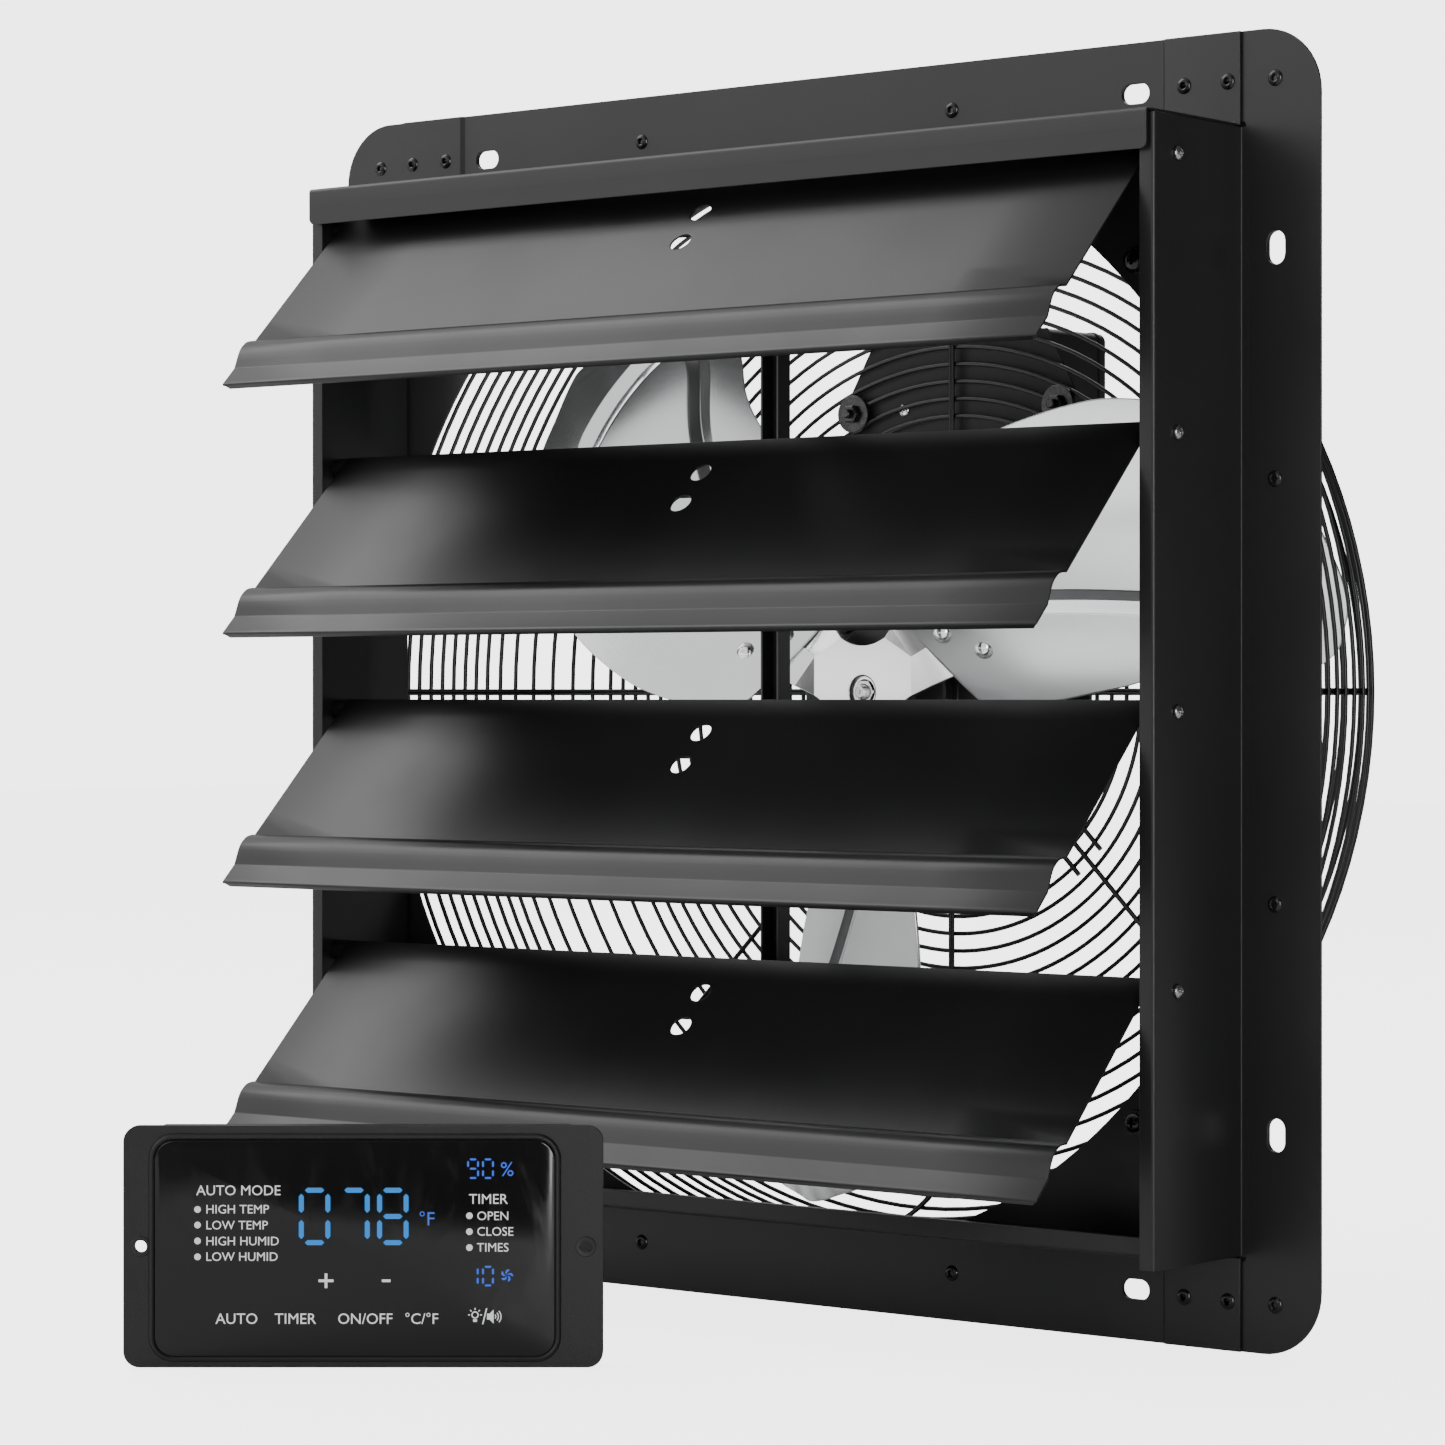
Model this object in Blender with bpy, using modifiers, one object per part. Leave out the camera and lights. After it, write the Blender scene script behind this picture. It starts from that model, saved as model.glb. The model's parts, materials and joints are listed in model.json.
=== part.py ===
"""Shutter exhaust fan: louvered box, three-bladed wheel, wire guard, motor and controller.

Metres, +Z up. The origin is on the wheel's axis, in the plane of the flange's front face.
The louvers face -Y (outdoors) and the motor and guard lie at +Y (indoors).
"""
import math

import bmesh
import bpy
import numpy as np
from mathutils import Matrix, Vector

# General
SHEET = 0.0012
GAP = 0.0003
OVERRUN = 0.004
MERGE = 0.00001

# Shutter box
BOX_HALF_WIDTH = 0.252
BOX_HEIGHT_DIFFERENCE = 0.0015
BOX_DEPTH = 0.070
SIDE_LIP_WIDTH = 0.008
TOP_OVERHANG = 0.0035
TOP_LIP_HEIGHT = 0.018
TOP_LIP_INSET = 0.002
BOTTOM_RECESS = 0.012
BOTTOM_RISE = 0.0035
BOTTOM_LIP_HEIGHT = 0.009

# Flange
FLANGE_WIDTH = 0.041
FLANGE_CORNER = 0.0295
LAP_WIDTH = 0.040
LAP_MARGIN = 0.0005
JOGGLE_LENGTH = 0.0015
SLOT_WIDTH = 0.0092
SLOT_LENGTH = 0.015
SLOT_LAP_DISTANCE = 0.016
SLOT_EDGE_DISTANCE = 0.023
RELIEF_RADIUS = 0.00265

# Back panel
BACK_PANEL_INSET = 0.001
AIR_HOLE_MARGIN = 0.0275
GUARD_BOLT_DISTANCE = 0.0103
GUARD_BOLT_RADIUS = 0.0024
GUARD_BOLT_HEAD_RADIUS = 0.0057
GUARD_BOLT_HEAD_HEIGHT = 0.0034
GUARD_NUT_RADIUS = 0.0045
GUARD_NUT_HEIGHT = 0.004
HOLE_CLEARANCE = 0.0004

# Louvers, in their own frame: along the panel from the pivot, and out from the pivot to the face
LOUVER_COUNT = 4
FIRST_PIVOT_MARGIN = 0.0166
LAST_LOUVER_MARGIN = 0.0012
PIVOT_SETBACK = 0.018
OPEN_TILT = math.radians(45)
LOUVER_END_CLEARANCE = 0.011
LOUVER_OVERLAP = 0.0028
LOUVER_SHEET = 0.0009
LOUVER_FACE = 0.0055
LOUVER_TOP_EDGE = 0.002
BEAD_TIP_DISTANCE = 0.0123
BEAD_RISE_WIDTH = 0.0062
BEAD_CREST_WIDTH = 0.0065
BEAD_FALL_WIDTH = 0.0069
BEAD_HEIGHT = 0.0039
HEM_LENGTH = 0.009
HEM_RADIUS = 0.00115
LOUVER_HOLE_RADIUS = 0.0054
FIRST_HOLE = 0.0198
SECOND_HOLE = 0.0407
EAR_RADIUS = 0.0052

# Pivot screws and bushes
PIVOT_RADIUS = 0.002
PIVOT_HEAD_RADIUS = 0.0031
PIVOT_HEAD_HEIGHT = 0.0021
PIVOT_TAIL = 0.0018
BUSH_RADIUS = 0.0052
BUSH_NECK_RADIUS = 0.0033
RUNNING_CLEARANCE = 0.0003

# Link bar, arms and pins
LINK_BAR_SETBACK = 0.03875
LINK_BAR_DROP = 0.0303
LINK_BAR_HALF_WIDTH = 0.0053
LINK_BAR_THICKNESS = 0.0093
LINK_BAR_SHEET = 0.001
LINK_BAR_TOP_MARGIN = 0.007
LINK_BAR_BOTTOM_MARGIN = 0.008
LINK_PIN_RADIUS = 0.0015
LINK_PIN_HEAD_RADIUS = 0.0027
LINK_PIN_HEAD_HEIGHT = 0.001
ARM_SHEET = 0.0015
ARM_EYE_RADIUS = 0.0032
ARM_FOOT_HALF_WIDTH = 0.008
ARM_FOOT_MARGIN = 0.0006
ARM_FOOT_THICKNESS = 0.0012

# Wheel
WHEEL_CLEARANCE = 0.008
BLADE_COUNT = 3
FIRST_BLADE_ANGLE = math.radians(30)
WHEEL_MOTOR_DISTANCE = 0.0183
BLADE_SHEET = 0.0015
BLADE_ROOT_PITCH = math.radians(37.235)
BLADE_TIP_PITCH = math.radians(19.187)
RIB_HALF_WIDTH = 0.0045
RIB_DEPTH = 0.0024
# Shares of the wheel's radius: along the blade's axis, out to its leading edge, out to its trailing edge
BLADE_OUTLINE_SHARES = (
    (0.178, 0.128, 0.125), (0.243, 0.167, 0.167), (0.311, 0.197, 0.197), (0.388, 0.224, 0.216),
    (0.456, 0.248, 0.222), (0.534, 0.264, 0.222), (0.592, 0.282, 0.217), (0.650, 0.313, 0.204),
    (0.709, 0.364, 0.188), (0.777, 0.403, 0.162), (0.845, 0.408, 0.118), (0.893, 0.384, 0.075),
    (0.922, 0.361, 0.029), (0.947, 0.320, -0.019), (0.964, 0.264, -0.078), (0.978, 0.204, -0.126),
    (0.985, 0.180, -0.160),
)
# Shares of the wheel's radius: along the blade's axis, across to the pressed rib
RIB_SHARES = ((0.390, 0.020), (0.456, 0.058), (0.524, 0.105), (0.583, 0.146), (0.660, 0.199),
              (0.723, 0.252), (0.787, 0.301))

# Hub
HUB_HEX_INNER_RADIUS = 0.031
HUB_SLOPE_WIDTH = 0.0085
HUB_SHEET = 0.003
HUB_SCALLOP_RADIUS = 0.0237
HUB_SCALLOP_DISTANCE = 0.047
HUB_ARM_HALF_WIDTH = 0.022
HUB_ARM_LENGTH = 0.080
HUB_ARM_CORNER = 0.006
HUB_BOSS_RADIUS = 0.013
HUB_RECESS_RADIUS = 0.0082
HUB_RECESS_DEPTH = 0.0045

# Shaft and nut
SHAFT_RADIUS = 0.006
THREAD_RADIUS = 0.0035
THREAD_REACH = 0.0022
NUT_RADIUS = 0.0062
NUT_HEIGHT = 0.0035

# Motor
MOTOR_NOSE_LENGTH = 0.012
MOTOR_NOSE_RADIUS = 0.036
MOTOR_BODY_LENGTH = 0.0395
MOTOR_BODY_RADIUS = 0.060
MOTOR_GUARD_DISTANCE = 0.0065
MOTOR_WALL = 0.003
MOTOR_FIN_HEIGHT = 0.003
MOTOR_FIN_COUNT = 4
MOTOR_COVER_THICKNESS = 0.0032
BEARING_RADIUS = 0.016
BEARING_WIDTH = 0.008
BEARING_WALL = 0.004
STATOR_THICKNESS = 0.018
STATOR_MARGIN = 0.003
AIR_GAP = 0.0006
ROTOR_END_MARGIN = 0.002

# Guard
RING_WIRE = 0.0010
SPOKE_WIRE = 0.0014
GUARD_FLAT = 0.132
GUARD_CORNER_WIDTH = 0.036
GUARD_INNER_OVERLAP = 0.0029
FLAT_RING_COUNT = 18
GUARD_SHOULDER_WIDTH = 0.0125
GUARD_SHOULDER_DROP = 0.012
GUARD_SIDE_WIDTH = 0.0045
GUARD_SIDE_DROP = 0.048
GUARD_BASE_MARGIN = 0.003
CORNER_RING_COUNT = 4
SIDE_RING_COUNT = 7
WELD_DEPTH = 0.0009
PAIR_SPACING = 0.0046
GUARD_TAB_HALF_WIDTH = 0.007
GUARD_TAB_THICKNESS = 0.0018
GUARD_TAB_REACH = 0.008
BRACKET_MARGIN = 0.025

# Junction box behind the guard
JUNCTION_HALF_WIDTH = 0.050
JUNCTION_BOTTOM = 0.128
JUNCTION_HEIGHT = 0.058
JUNCTION_DEPTH = 0.032
JUNCTION_EDGE = 0.003
CLAMP_EAR_WIDTH = 0.0235
CLAMP_TOP_MARGIN = 0.002
CLAMP_BOTTOM_INSET = 0.0035
CLAMP_TOP_INSET = 0.004
CLAMP_BOLT_DISTANCE = 0.0148
CLAMP_BOLT_RISE = 0.0153
CLAMP_BOLT_RADIUS = 0.0022
CLAMP_WASHER_RADIUS = 0.0096
CLAMP_WASHER_THICKNESS = 0.0014
CLAMP_HEAD_RADIUS = 0.0045
CLAMP_HEAD_HEIGHT = 0.003

# Controller, a separate unit that stands in front of the fan
CONTROLLER_WIDTH = 0.208
CONTROLLER_HEIGHT = 0.1048
CONTROLLER_DEPTH = 0.020
CONTROLLER_CORNER = 0.007
CONTROLLER_EAR_THICKNESS = 0.004
CONTROLLER_EAR_LENGTH = 0.0125
CONTROLLER_PANEL_SIDE_MARGIN = 0.00375
CONTROLLER_PANEL_TOP_MARGIN = 0.00455
CONTROLLER_PANEL_SHIFT = -0.0036
CONTROLLER_PANEL_CORNER = 0.010
CONTROLLER_PANEL_THICKNESS = 0.0018
CONTROLLER_PANEL_RISE = 0.0006
CONTROLLER_WALL = 0.0025
CONTROLLER_HOLE_RADIUS = 0.0027
CONTROLLER_HOLE_MARGIN = 0.0080
CONTROLLER_X = -0.020
CONTROLLER_Y = -0.2775
CONTROLLER_TURN = math.radians(38.7)

# Roundness
SMALL_SIDES = 12
BODY_SIDES = 28
HOLE_SIDES = 48
RING_SIDES = 24

# Sizes and places worked out from those above
BOX_HALF_HEIGHT = BOX_HALF_WIDTH - BOX_HEIGHT_DIFFERENCE
FLANGE_HALF = BOX_HALF_WIDTH + FLANGE_WIDTH
LAP_START = BOX_HALF_WIDTH - LAP_WIDTH
LAP_END = BOX_HALF_WIDTH + LAP_MARGIN
SLOT_OFFSET = LAP_START - SLOT_LAP_DISTANCE
SLOT_LINE = FLANGE_HALF - SLOT_EDGE_DISTANCE
AIR_HOLE_RADIUS = FLANGE_HALF - AIR_HOLE_MARGIN
GUARD_BOLT_OFFSET = (AIR_HOLE_RADIUS + GUARD_BOLT_DISTANCE) / math.sqrt(2)
FIRST_PIVOT_HEIGHT = BOX_HALF_HEIGHT - FIRST_PIVOT_MARGIN
PIVOT_PITCH = (FIRST_PIVOT_HEIGHT + BOX_HALF_HEIGHT + LAST_LOUVER_MARGIN) / LOUVER_COUNT
LOUVER_HALF_LENGTH = BOX_HALF_WIDTH - LOUVER_END_CLEARANCE
LOUVER_TIP = PIVOT_PITCH + LOUVER_OVERLAP
BEAD_END = LOUVER_TIP - BEAD_TIP_DISTANCE
BEAD_CREST_END = BEAD_END - BEAD_FALL_WIDTH
BEAD_CREST_START = BEAD_CREST_END - BEAD_CREST_WIDTH
BEAD_START = BEAD_CREST_START - BEAD_RISE_WIDTH
WHEEL_RADIUS = AIR_HOLE_RADIUS - WHEEL_CLEARANCE
MOTOR_BODY_BACK = GUARD_FLAT - MOTOR_GUARD_DISTANCE
MOTOR_BODY_FRONT = MOTOR_BODY_BACK - MOTOR_BODY_LENGTH
MOTOR_NOSE_FRONT = MOTOR_BODY_FRONT - MOTOR_NOSE_LENGTH
BLADE_FRONT = MOTOR_NOSE_FRONT - WHEEL_MOTOR_DISTANCE
HUB_FRONT = BLADE_FRONT
THREAD_FRONT = HUB_FRONT - THREAD_REACH
BRACKET_RADIUS = MOTOR_BODY_RADIUS + BRACKET_MARGIN
GUARD_INNER_RADIUS = BRACKET_RADIUS - GUARD_INNER_OVERLAP
GUARD_BASE_RADIUS = AIR_HOLE_RADIUS + GUARD_BASE_MARGIN
GUARD_SIDE_RADIUS = GUARD_BASE_RADIUS - GUARD_SIDE_WIDTH
GUARD_SHOULDER_RADIUS = GUARD_BASE_RADIUS - GUARD_SHOULDER_WIDTH
GUARD_FLAT_RADIUS = GUARD_BASE_RADIUS - GUARD_CORNER_WIDTH
GUARD_SHOULDER_DEPTH = GUARD_FLAT - GUARD_SHOULDER_DROP
GUARD_SIDE_DEPTH = GUARD_FLAT - GUARD_SIDE_DROP
JUNCTION_TOP = JUNCTION_BOTTOM + JUNCTION_HEIGHT
CLAMP_PLATE_BOTTOM_HALF = JUNCTION_HALF_WIDTH + CLAMP_EAR_WIDTH
CLAMP_PLATE_TOP_HALF = JUNCTION_HALF_WIDTH + CLAMP_TOP_MARGIN
CLAMP_PLATE_BOTTOM = JUNCTION_BOTTOM + CLAMP_BOTTOM_INSET
CLAMP_PLATE_TOP = JUNCTION_TOP - CLAMP_TOP_INSET
CLAMP_BOLT_OFFSET = JUNCTION_HALF_WIDTH + CLAMP_BOLT_DISTANCE
CLAMP_BOLT_HEIGHT = JUNCTION_BOTTOM + CLAMP_BOLT_RISE
CONTROLLER_BODY_WIDTH = CONTROLLER_WIDTH - CONTROLLER_EAR_LENGTH * 2
CONTROLLER_PANEL_WIDTH = CONTROLLER_BODY_WIDTH - CONTROLLER_PANEL_SIDE_MARGIN * 2
CONTROLLER_PANEL_HEIGHT = CONTROLLER_HEIGHT - CONTROLLER_PANEL_TOP_MARGIN * 2
CONTROLLER_HOLE_OFFSET = CONTROLLER_WIDTH / 2 - CONTROLLER_HOLE_MARGIN
PIVOT_Y = PIVOT_SETBACK - BOX_DEPTH
BACK_PANEL_FRONT = SHEET + GAP
BACK_PANEL_BACK = BACK_PANEL_FRONT + SHEET
LAP_CENTRE = -(GAP + SHEET / 2)
TOP_PLATE_CENTRE = BOX_HALF_HEIGHT + GAP * 2 + SHEET / 2
BOTTOM_PLATE_CENTRE = -(BOX_HALF_HEIGHT - BOTTOM_RISE) + SHEET / 2
EAR_BOTTOM = TOP_PLATE_CENTRE + SHEET / 2 + GAP * 2
PIVOT_HEIGHTS = [FIRST_PIVOT_HEIGHT - PIVOT_PITCH * index for index in range(LOUVER_COUNT)]
BLADE_ANGLES = [FIRST_BLADE_ANGLE + math.tau * index / BLADE_COUNT for index in range(BLADE_COUNT)]

parts = bpy.data.collections.new("shutter_exhaust_fan")
cutters = bpy.data.collections.new("cutters")


def clear_scene():
    """Empty the scene and hang the two collections in it."""
    for thing in list(bpy.data.objects):
        bpy.data.objects.remove(thing)
    bpy.context.scene.collection.children.link(parts)
    bpy.context.scene.collection.children.link(cutters)


def principled(name, colour, roughness, metallic):
    """Make a Principled material."""
    material = bpy.data.materials.new(name)
    material.use_nodes = True
    shader = material.node_tree.nodes["Principled BSDF"]
    shader.inputs["Base Color"].default_value = (*colour, 1)
    shader.inputs["Roughness"].default_value = roughness
    shader.inputs["Metallic"].default_value = metallic
    material.diffuse_color = (*colour, 1)
    return material


def black_sheet():
    """Powder coated sheet of the box and the louvers."""
    return principled("black_sheet", (0.022, 0.022, 0.024), 0.42, 0.0)


def black_wire():
    """Coated wire of the guard."""
    return principled("black_wire", (0.008, 0.008, 0.008), 0.5, 0.0)


def bright_blade():
    """Satin aluminium of the blades."""
    return principled("bright_blade", (0.72, 0.73, 0.74), 0.28, 1.0)


def cast_hub():
    """Pale pressed metal of the hub."""
    return principled("cast_hub", (0.86, 0.87, 0.88), 0.35, 0.9)


def zinc_steel():
    """Plated steel of screws, pins and nuts."""
    return principled("zinc_steel", (0.55, 0.56, 0.58), 0.32, 1.0)


def bush_plastic():
    """Dark plastic of the pivot bushes."""
    return principled("bush_plastic", (0.08, 0.08, 0.08), 0.5, 0.0)


def motor_paint():
    """Black paint of the motor."""
    return principled("motor_paint", (0.012, 0.012, 0.013), 0.45, 0.0)


def copper_winding():
    """Copper of the stator."""
    return principled("copper_winding", (0.62, 0.28, 0.12), 0.4, 1.0)


def black_plastic():
    """Moulded plastic of the boxes."""
    return principled("black_plastic", (0.015, 0.015, 0.016), 0.55, 0.0)


def black_glass():
    """Glossy front of the controller."""
    return principled("black_glass", (0.004, 0.004, 0.005), 0.08, 0.0)


def add_part(name, mesh, material):
    """Put a mesh in the scene as a named part."""
    part = bpy.data.objects.new(name, mesh)
    part.data.materials.append(material)
    parts.objects.link(part)
    return part


def add_cutter(name, mesh):
    """Put a mesh in the scene as a tool for Boolean modifiers."""
    tool = bpy.data.objects.new(name, mesh)
    tool.hide_render = True
    tool.display_type = "WIRE"
    cutters.objects.link(tool)
    return tool


def combine(part, tool, operation):
    """Cut a part with a tool, or join the tool to it."""
    modifier = part.modifiers.new(operation.lower(), "BOOLEAN")
    modifier.operation = operation
    modifier.solver = "EXACT"
    modifier.object = tool


def finish_mesh(work, name):
    """Turn a bmesh into a mesh with its faces pointing out."""
    bmesh.ops.recalc_face_normals(work, faces=work.faces)
    mesh = bpy.data.meshes.new(name)
    work.to_mesh(mesh)
    work.free()
    return mesh


def add_box(work, low, high):
    """Add a box between two corners to a bmesh."""
    low, high = Vector(low), Vector(high)
    place = Matrix.Translation((low + high) / 2)
    bmesh.ops.create_cube(work, size=1, matrix=place @ Matrix.Diagonal((*(high - low), 1)))


def add_rod(work, start, end, radius, sides, end_radius=None):
    """Add a round bar or cone between two points to a bmesh."""
    start, end = Vector(start), Vector(end)
    turn = Vector((0, 0, 1)).rotation_difference(end - start).to_matrix().to_4x4()
    bmesh.ops.create_cone(
        work,
        cap_ends=True,
        segments=sides,
        radius1=radius,
        radius2=radius if end_radius is None else end_radius,
        depth=(end - start).length,
        matrix=Matrix.Translation((start + end) / 2) @ turn,
    )


def arc_points(centre, radius, start, end, count):
    """Points along an arc, both ends included."""
    angles = np.linspace(start, end, count)
    return [(centre[0] + radius * math.cos(a), centre[1] + radius * math.sin(a)) for a in angles]


def rounded_outline(half_width, half_height, corner, count=9):
    """Outline of a rectangle with round corners."""
    points = []
    for index, (sx, sy) in enumerate(((1, 1), (-1, 1), (-1, -1), (1, -1))):
        centre = (sx * (half_width - corner), sy * (half_height - corner))
        start = index * math.pi / 2
        points += arc_points(centre, corner, start, start + math.pi / 2, count)
    return points


def slot_outline(centre, along_x, count=5):
    """Outline of one mounting slot."""
    radius = SLOT_WIDTH / 2
    reach = SLOT_LENGTH / 2 - radius
    shift = (reach, 0) if along_x else (0, reach)
    start = -math.pi / 2 if along_x else 0
    near = arc_points((centre[0] + shift[0], centre[1] + shift[1]), radius, start, start + math.pi, count)
    far = arc_points(
        (centre[0] - shift[0], centre[1] - shift[1]), radius, start + math.pi, start + math.tau, count
    )
    return near + far


def circle_outline(centre, radius, sides):
    """Outline of a round hole."""
    return arc_points(centre, radius, 0, math.tau, sides + 1)[:-1]


def flat_plate(name, loops, thickness, matrix):
    """Mesh of a flat plate: the first loop is its outline and the others are holes."""
    curve = bpy.data.curves.new(name, "CURVE")
    curve.dimensions = "2D"
    curve.fill_mode = "BOTH"
    curve.extrude = thickness / 2
    for loop in loops:
        spline = curve.splines.new("POLY")
        spline.points.add(len(loop) - 1)
        spline.use_cyclic_u = True
        for point, (x, y) in zip(spline.points, loop):
            point.co = (x, y, 0, 1)
    carrier = bpy.data.objects.new(name, curve)
    cutters.objects.link(carrier)
    bpy.context.view_layer.update()
    mesh = bpy.data.meshes.new_from_object(carrier.evaluated_get(bpy.context.evaluated_depsgraph_get()))
    bpy.data.objects.remove(carrier)
    work = bmesh.new()
    work.from_mesh(mesh)
    bmesh.ops.remove_doubles(work, verts=work.verts, dist=MERGE)
    bmesh.ops.transform(work, matrix=matrix, verts=work.verts)
    return finish_mesh(work, name)


def facing_front(y):
    """Matrix that stands a flat plate up in the XZ plane at a depth."""
    return Matrix.Translation((0, y, 0)) @ Matrix.Rotation(math.pi / 2, 4, "X")


def sheet_surface(name, points, low, high, axis):
    """Open surface of a bent sheet: a line of points in one plane, carried along the third axis."""
    order = {"X": (1, 2, 0), "Y": (0, 2, 1), "Z": (0, 1, 2)}[axis]
    work = bmesh.new()
    chain = []
    for u, v in points:
        place = [0, 0, 0]
        place[order[0]], place[order[1]], place[order[2]] = u, v, low
        chain.append(work.verts.new(place))
    edges = [work.edges.new(pair) for pair in zip(chain, chain[1:])]
    grown = bmesh.ops.extrude_edge_only(work, edges=edges)["geom"]
    step = [0, 0, 0]
    step[order[2]] = high - low
    bmesh.ops.translate(work, vec=step, verts=[g for g in grown if isinstance(g, bmesh.types.BMVert)])
    mesh = bpy.data.meshes.new(name)
    work.to_mesh(mesh)
    work.free()
    return mesh


def thicken(part, thickness, even=True):
    """Give an open surface its wall, half to each side."""
    modifier = part.modifiers.new("wall", "SOLIDIFY")
    modifier.thickness = thickness
    modifier.offset = 0
    modifier.use_even_offset = even


def turned(name, profile, sides, axis, place, material, closed=False):
    """Turned piece: a profile of (radius, along) swept round an axis by a Screw modifier."""
    work = bmesh.new()
    chain = [work.verts.new((radius, 0, along)) for radius, along in profile]
    pairs = list(zip(chain, chain[1:]))
    if closed:
        pairs.append((chain[-1], chain[0]))
    for pair in pairs:
        work.edges.new(pair)
    mesh = bpy.data.meshes.new(name)
    work.to_mesh(mesh)
    work.free()
    part = add_part(name, mesh, material)
    screw = part.modifiers.new("turn", "SCREW")
    screw.steps = sides
    screw.render_steps = sides
    screw.use_merge_vertices = True
    screw.merge_threshold = MERGE
    screw.use_smooth_shade = True
    part.rotation_euler = {"Y": (-math.pi / 2, 0, 0), "X": (0, math.pi / 2, 0)}[axis]
    part.location = place
    return part


def empty_at(name, place, rotation=(0, 0, 0)):
    """Empty that carries the pieces of one moving body."""
    carrier = bpy.data.objects.new(name, None)
    carrier.location = place
    carrier.rotation_euler = rotation
    parts.objects.link(carrier)
    return carrier


def relief_cutter():
    """Round relief notches of the top and bottom panels at the corners of the box."""
    work = bmesh.new()
    for sx in (-1, 1):
        for sz in (-1, 1):
            centre = Vector((sx * BOX_HALF_WIDTH, 0, sz * BOX_HALF_HEIGHT))
            reach = Vector((0, SHEET + OVERRUN, 0))
            add_rod(work, centre - reach, centre + reach, RELIEF_RADIUS, SMALL_SIDES)
    return add_cutter("relief_notches", finish_mesh(work, "relief_notches"))


def pivot_hole_cutter():
    """Holes of the pivot bushes through both side walls."""
    work = bmesh.new()
    for height in PIVOT_HEIGHTS:
        for side in (-1, 1):
            inner = (side * (BOX_HALF_WIDTH - SHEET - OVERRUN), PIVOT_Y, height)
            outer = (side * (BOX_HALF_WIDTH + OVERRUN), PIVOT_Y, height)
            add_rod(work, inner, outer, BUSH_NECK_RADIUS + GAP, SMALL_SIDES)
    return add_cutter("pivot_holes", finish_mesh(work, "pivot_holes"))


def side_flange_outline(side):
    """Outline of a side flange with its two ears, its relief notches at the box corners, and its slots."""
    ear_end = LAP_START + JOGGLE_LENGTH + GAP * 2
    corner = FLANGE_HALF - FLANGE_CORNER
    first = -math.pi / 2 - math.asin(SHEET / 2 / RELIEF_RADIUS)
    last = math.asin((EAR_BOTTOM - BOX_HALF_HEIGHT) / RELIEF_RADIUS)
    notch = arc_points((BOX_HALF_WIDTH, BOX_HALF_HEIGHT), RELIEF_RADIUS, first, last, 9)
    points = notch + [(ear_end, EAR_BOTTOM), (ear_end, FLANGE_HALF)]
    points += arc_points((corner, corner), FLANGE_CORNER, math.pi / 2, 0, 9)
    points += arc_points((corner, -corner), FLANGE_CORNER, 0, -math.pi / 2, 9)
    points += [(ear_end, -FLANGE_HALF), (ear_end, -EAR_BOTTOM)]
    points += [(x, -z) for x, z in reversed(notch)]
    loops = [points]
    loops += [slot_outline((SLOT_LINE, sign * SLOT_OFFSET), False) for sign in (-1, 1)]
    return [[(side * x, z) for x, z in loop] for loop in loops]


def side_panel(name, side, holes):
    """Side wall of the box with its front lip and its flange."""
    wall = BOX_HALF_WIDTH - SHEET / 2
    front = -BOX_DEPTH + SHEET / 2
    lip = BOX_HALF_WIDTH - SIDE_LIP_WIDTH
    points = [(side * lip, front), (side * wall, front), (side * wall, SHEET / 2)]
    surface = sheet_surface(name, points, -BOX_HALF_HEIGHT, BOX_HALF_HEIGHT, "Z")
    panel = add_part(name, surface, black_sheet())
    thicken(panel, SHEET)
    plate = flat_plate(name + "_flange", side_flange_outline(side), SHEET, facing_front(SHEET / 2))
    combine(panel, add_cutter(name + "_flange", plate), "UNION")
    combine(panel, holes, "DIFFERENCE")
    return panel


def flange_strip(name, low, high):
    """Top or bottom flange: flat in the middle and joggled forward at both ends."""
    points = [
        (-LAP_END, LAP_CENTRE),
        (-LAP_START - JOGGLE_LENGTH, LAP_CENTRE),
        (-LAP_START + JOGGLE_LENGTH, SHEET / 2),
        (LAP_START - JOGGLE_LENGTH, SHEET / 2),
        (LAP_START + JOGGLE_LENGTH, LAP_CENTRE),
        (LAP_END, LAP_CENTRE),
    ]
    return sheet_surface(name, points, low, high, "Z")


def slot_cutter(name, sign):
    """Slots of the top or bottom flange."""
    work = bmesh.new()
    for side in (-1, 1):
        loop = slot_outline((side * SLOT_OFFSET, sign * SLOT_LINE), True)
        mesh = flat_plate(name, [loop], (SHEET + OVERRUN) * 2, facing_front(0))
        work.from_mesh(mesh)
    return add_cutter(name, finish_mesh(work, name))


def top_panel(relief):
    """Top of the box: front lip, plate and flange."""
    half_width = BOX_HALF_WIDTH - TOP_LIP_INSET
    front = -BOX_DEPTH - TOP_OVERHANG + SHEET / 2
    bottom = TOP_PLATE_CENTRE + SHEET / 2 - TOP_LIP_HEIGHT
    points = [(front, bottom), (front, TOP_PLATE_CENTRE), (LAP_CENTRE, TOP_PLATE_CENTRE)]
    surface = sheet_surface("top_panel", points, -half_width, half_width, "X")
    panel = add_part("top_panel", surface, black_sheet())
    thicken(panel, SHEET)
    reach = LAP_START - JOGGLE_LENGTH
    ends = [(LAP_CENTRE * 2, TOP_PLATE_CENTRE), (SHEET / 2, TOP_PLATE_CENTRE)]
    bridge = sheet_surface("top_bridge", ends,
                           -reach, reach, "X")
    for name, mesh in (("top_flange", flange_strip("top_flange", TOP_PLATE_CENTRE, FLANGE_HALF)),
                       ("top_bridge", bridge)):
        piece = add_cutter(name, mesh)
        thicken(piece, SHEET if name == "top_flange" else SHEET - MERGE * 2)
        combine(panel, piece, "UNION")
    combine(panel, slot_cutter("top_slots", 1), "DIFFERENCE")
    combine(panel, relief, "DIFFERENCE")
    return panel


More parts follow.
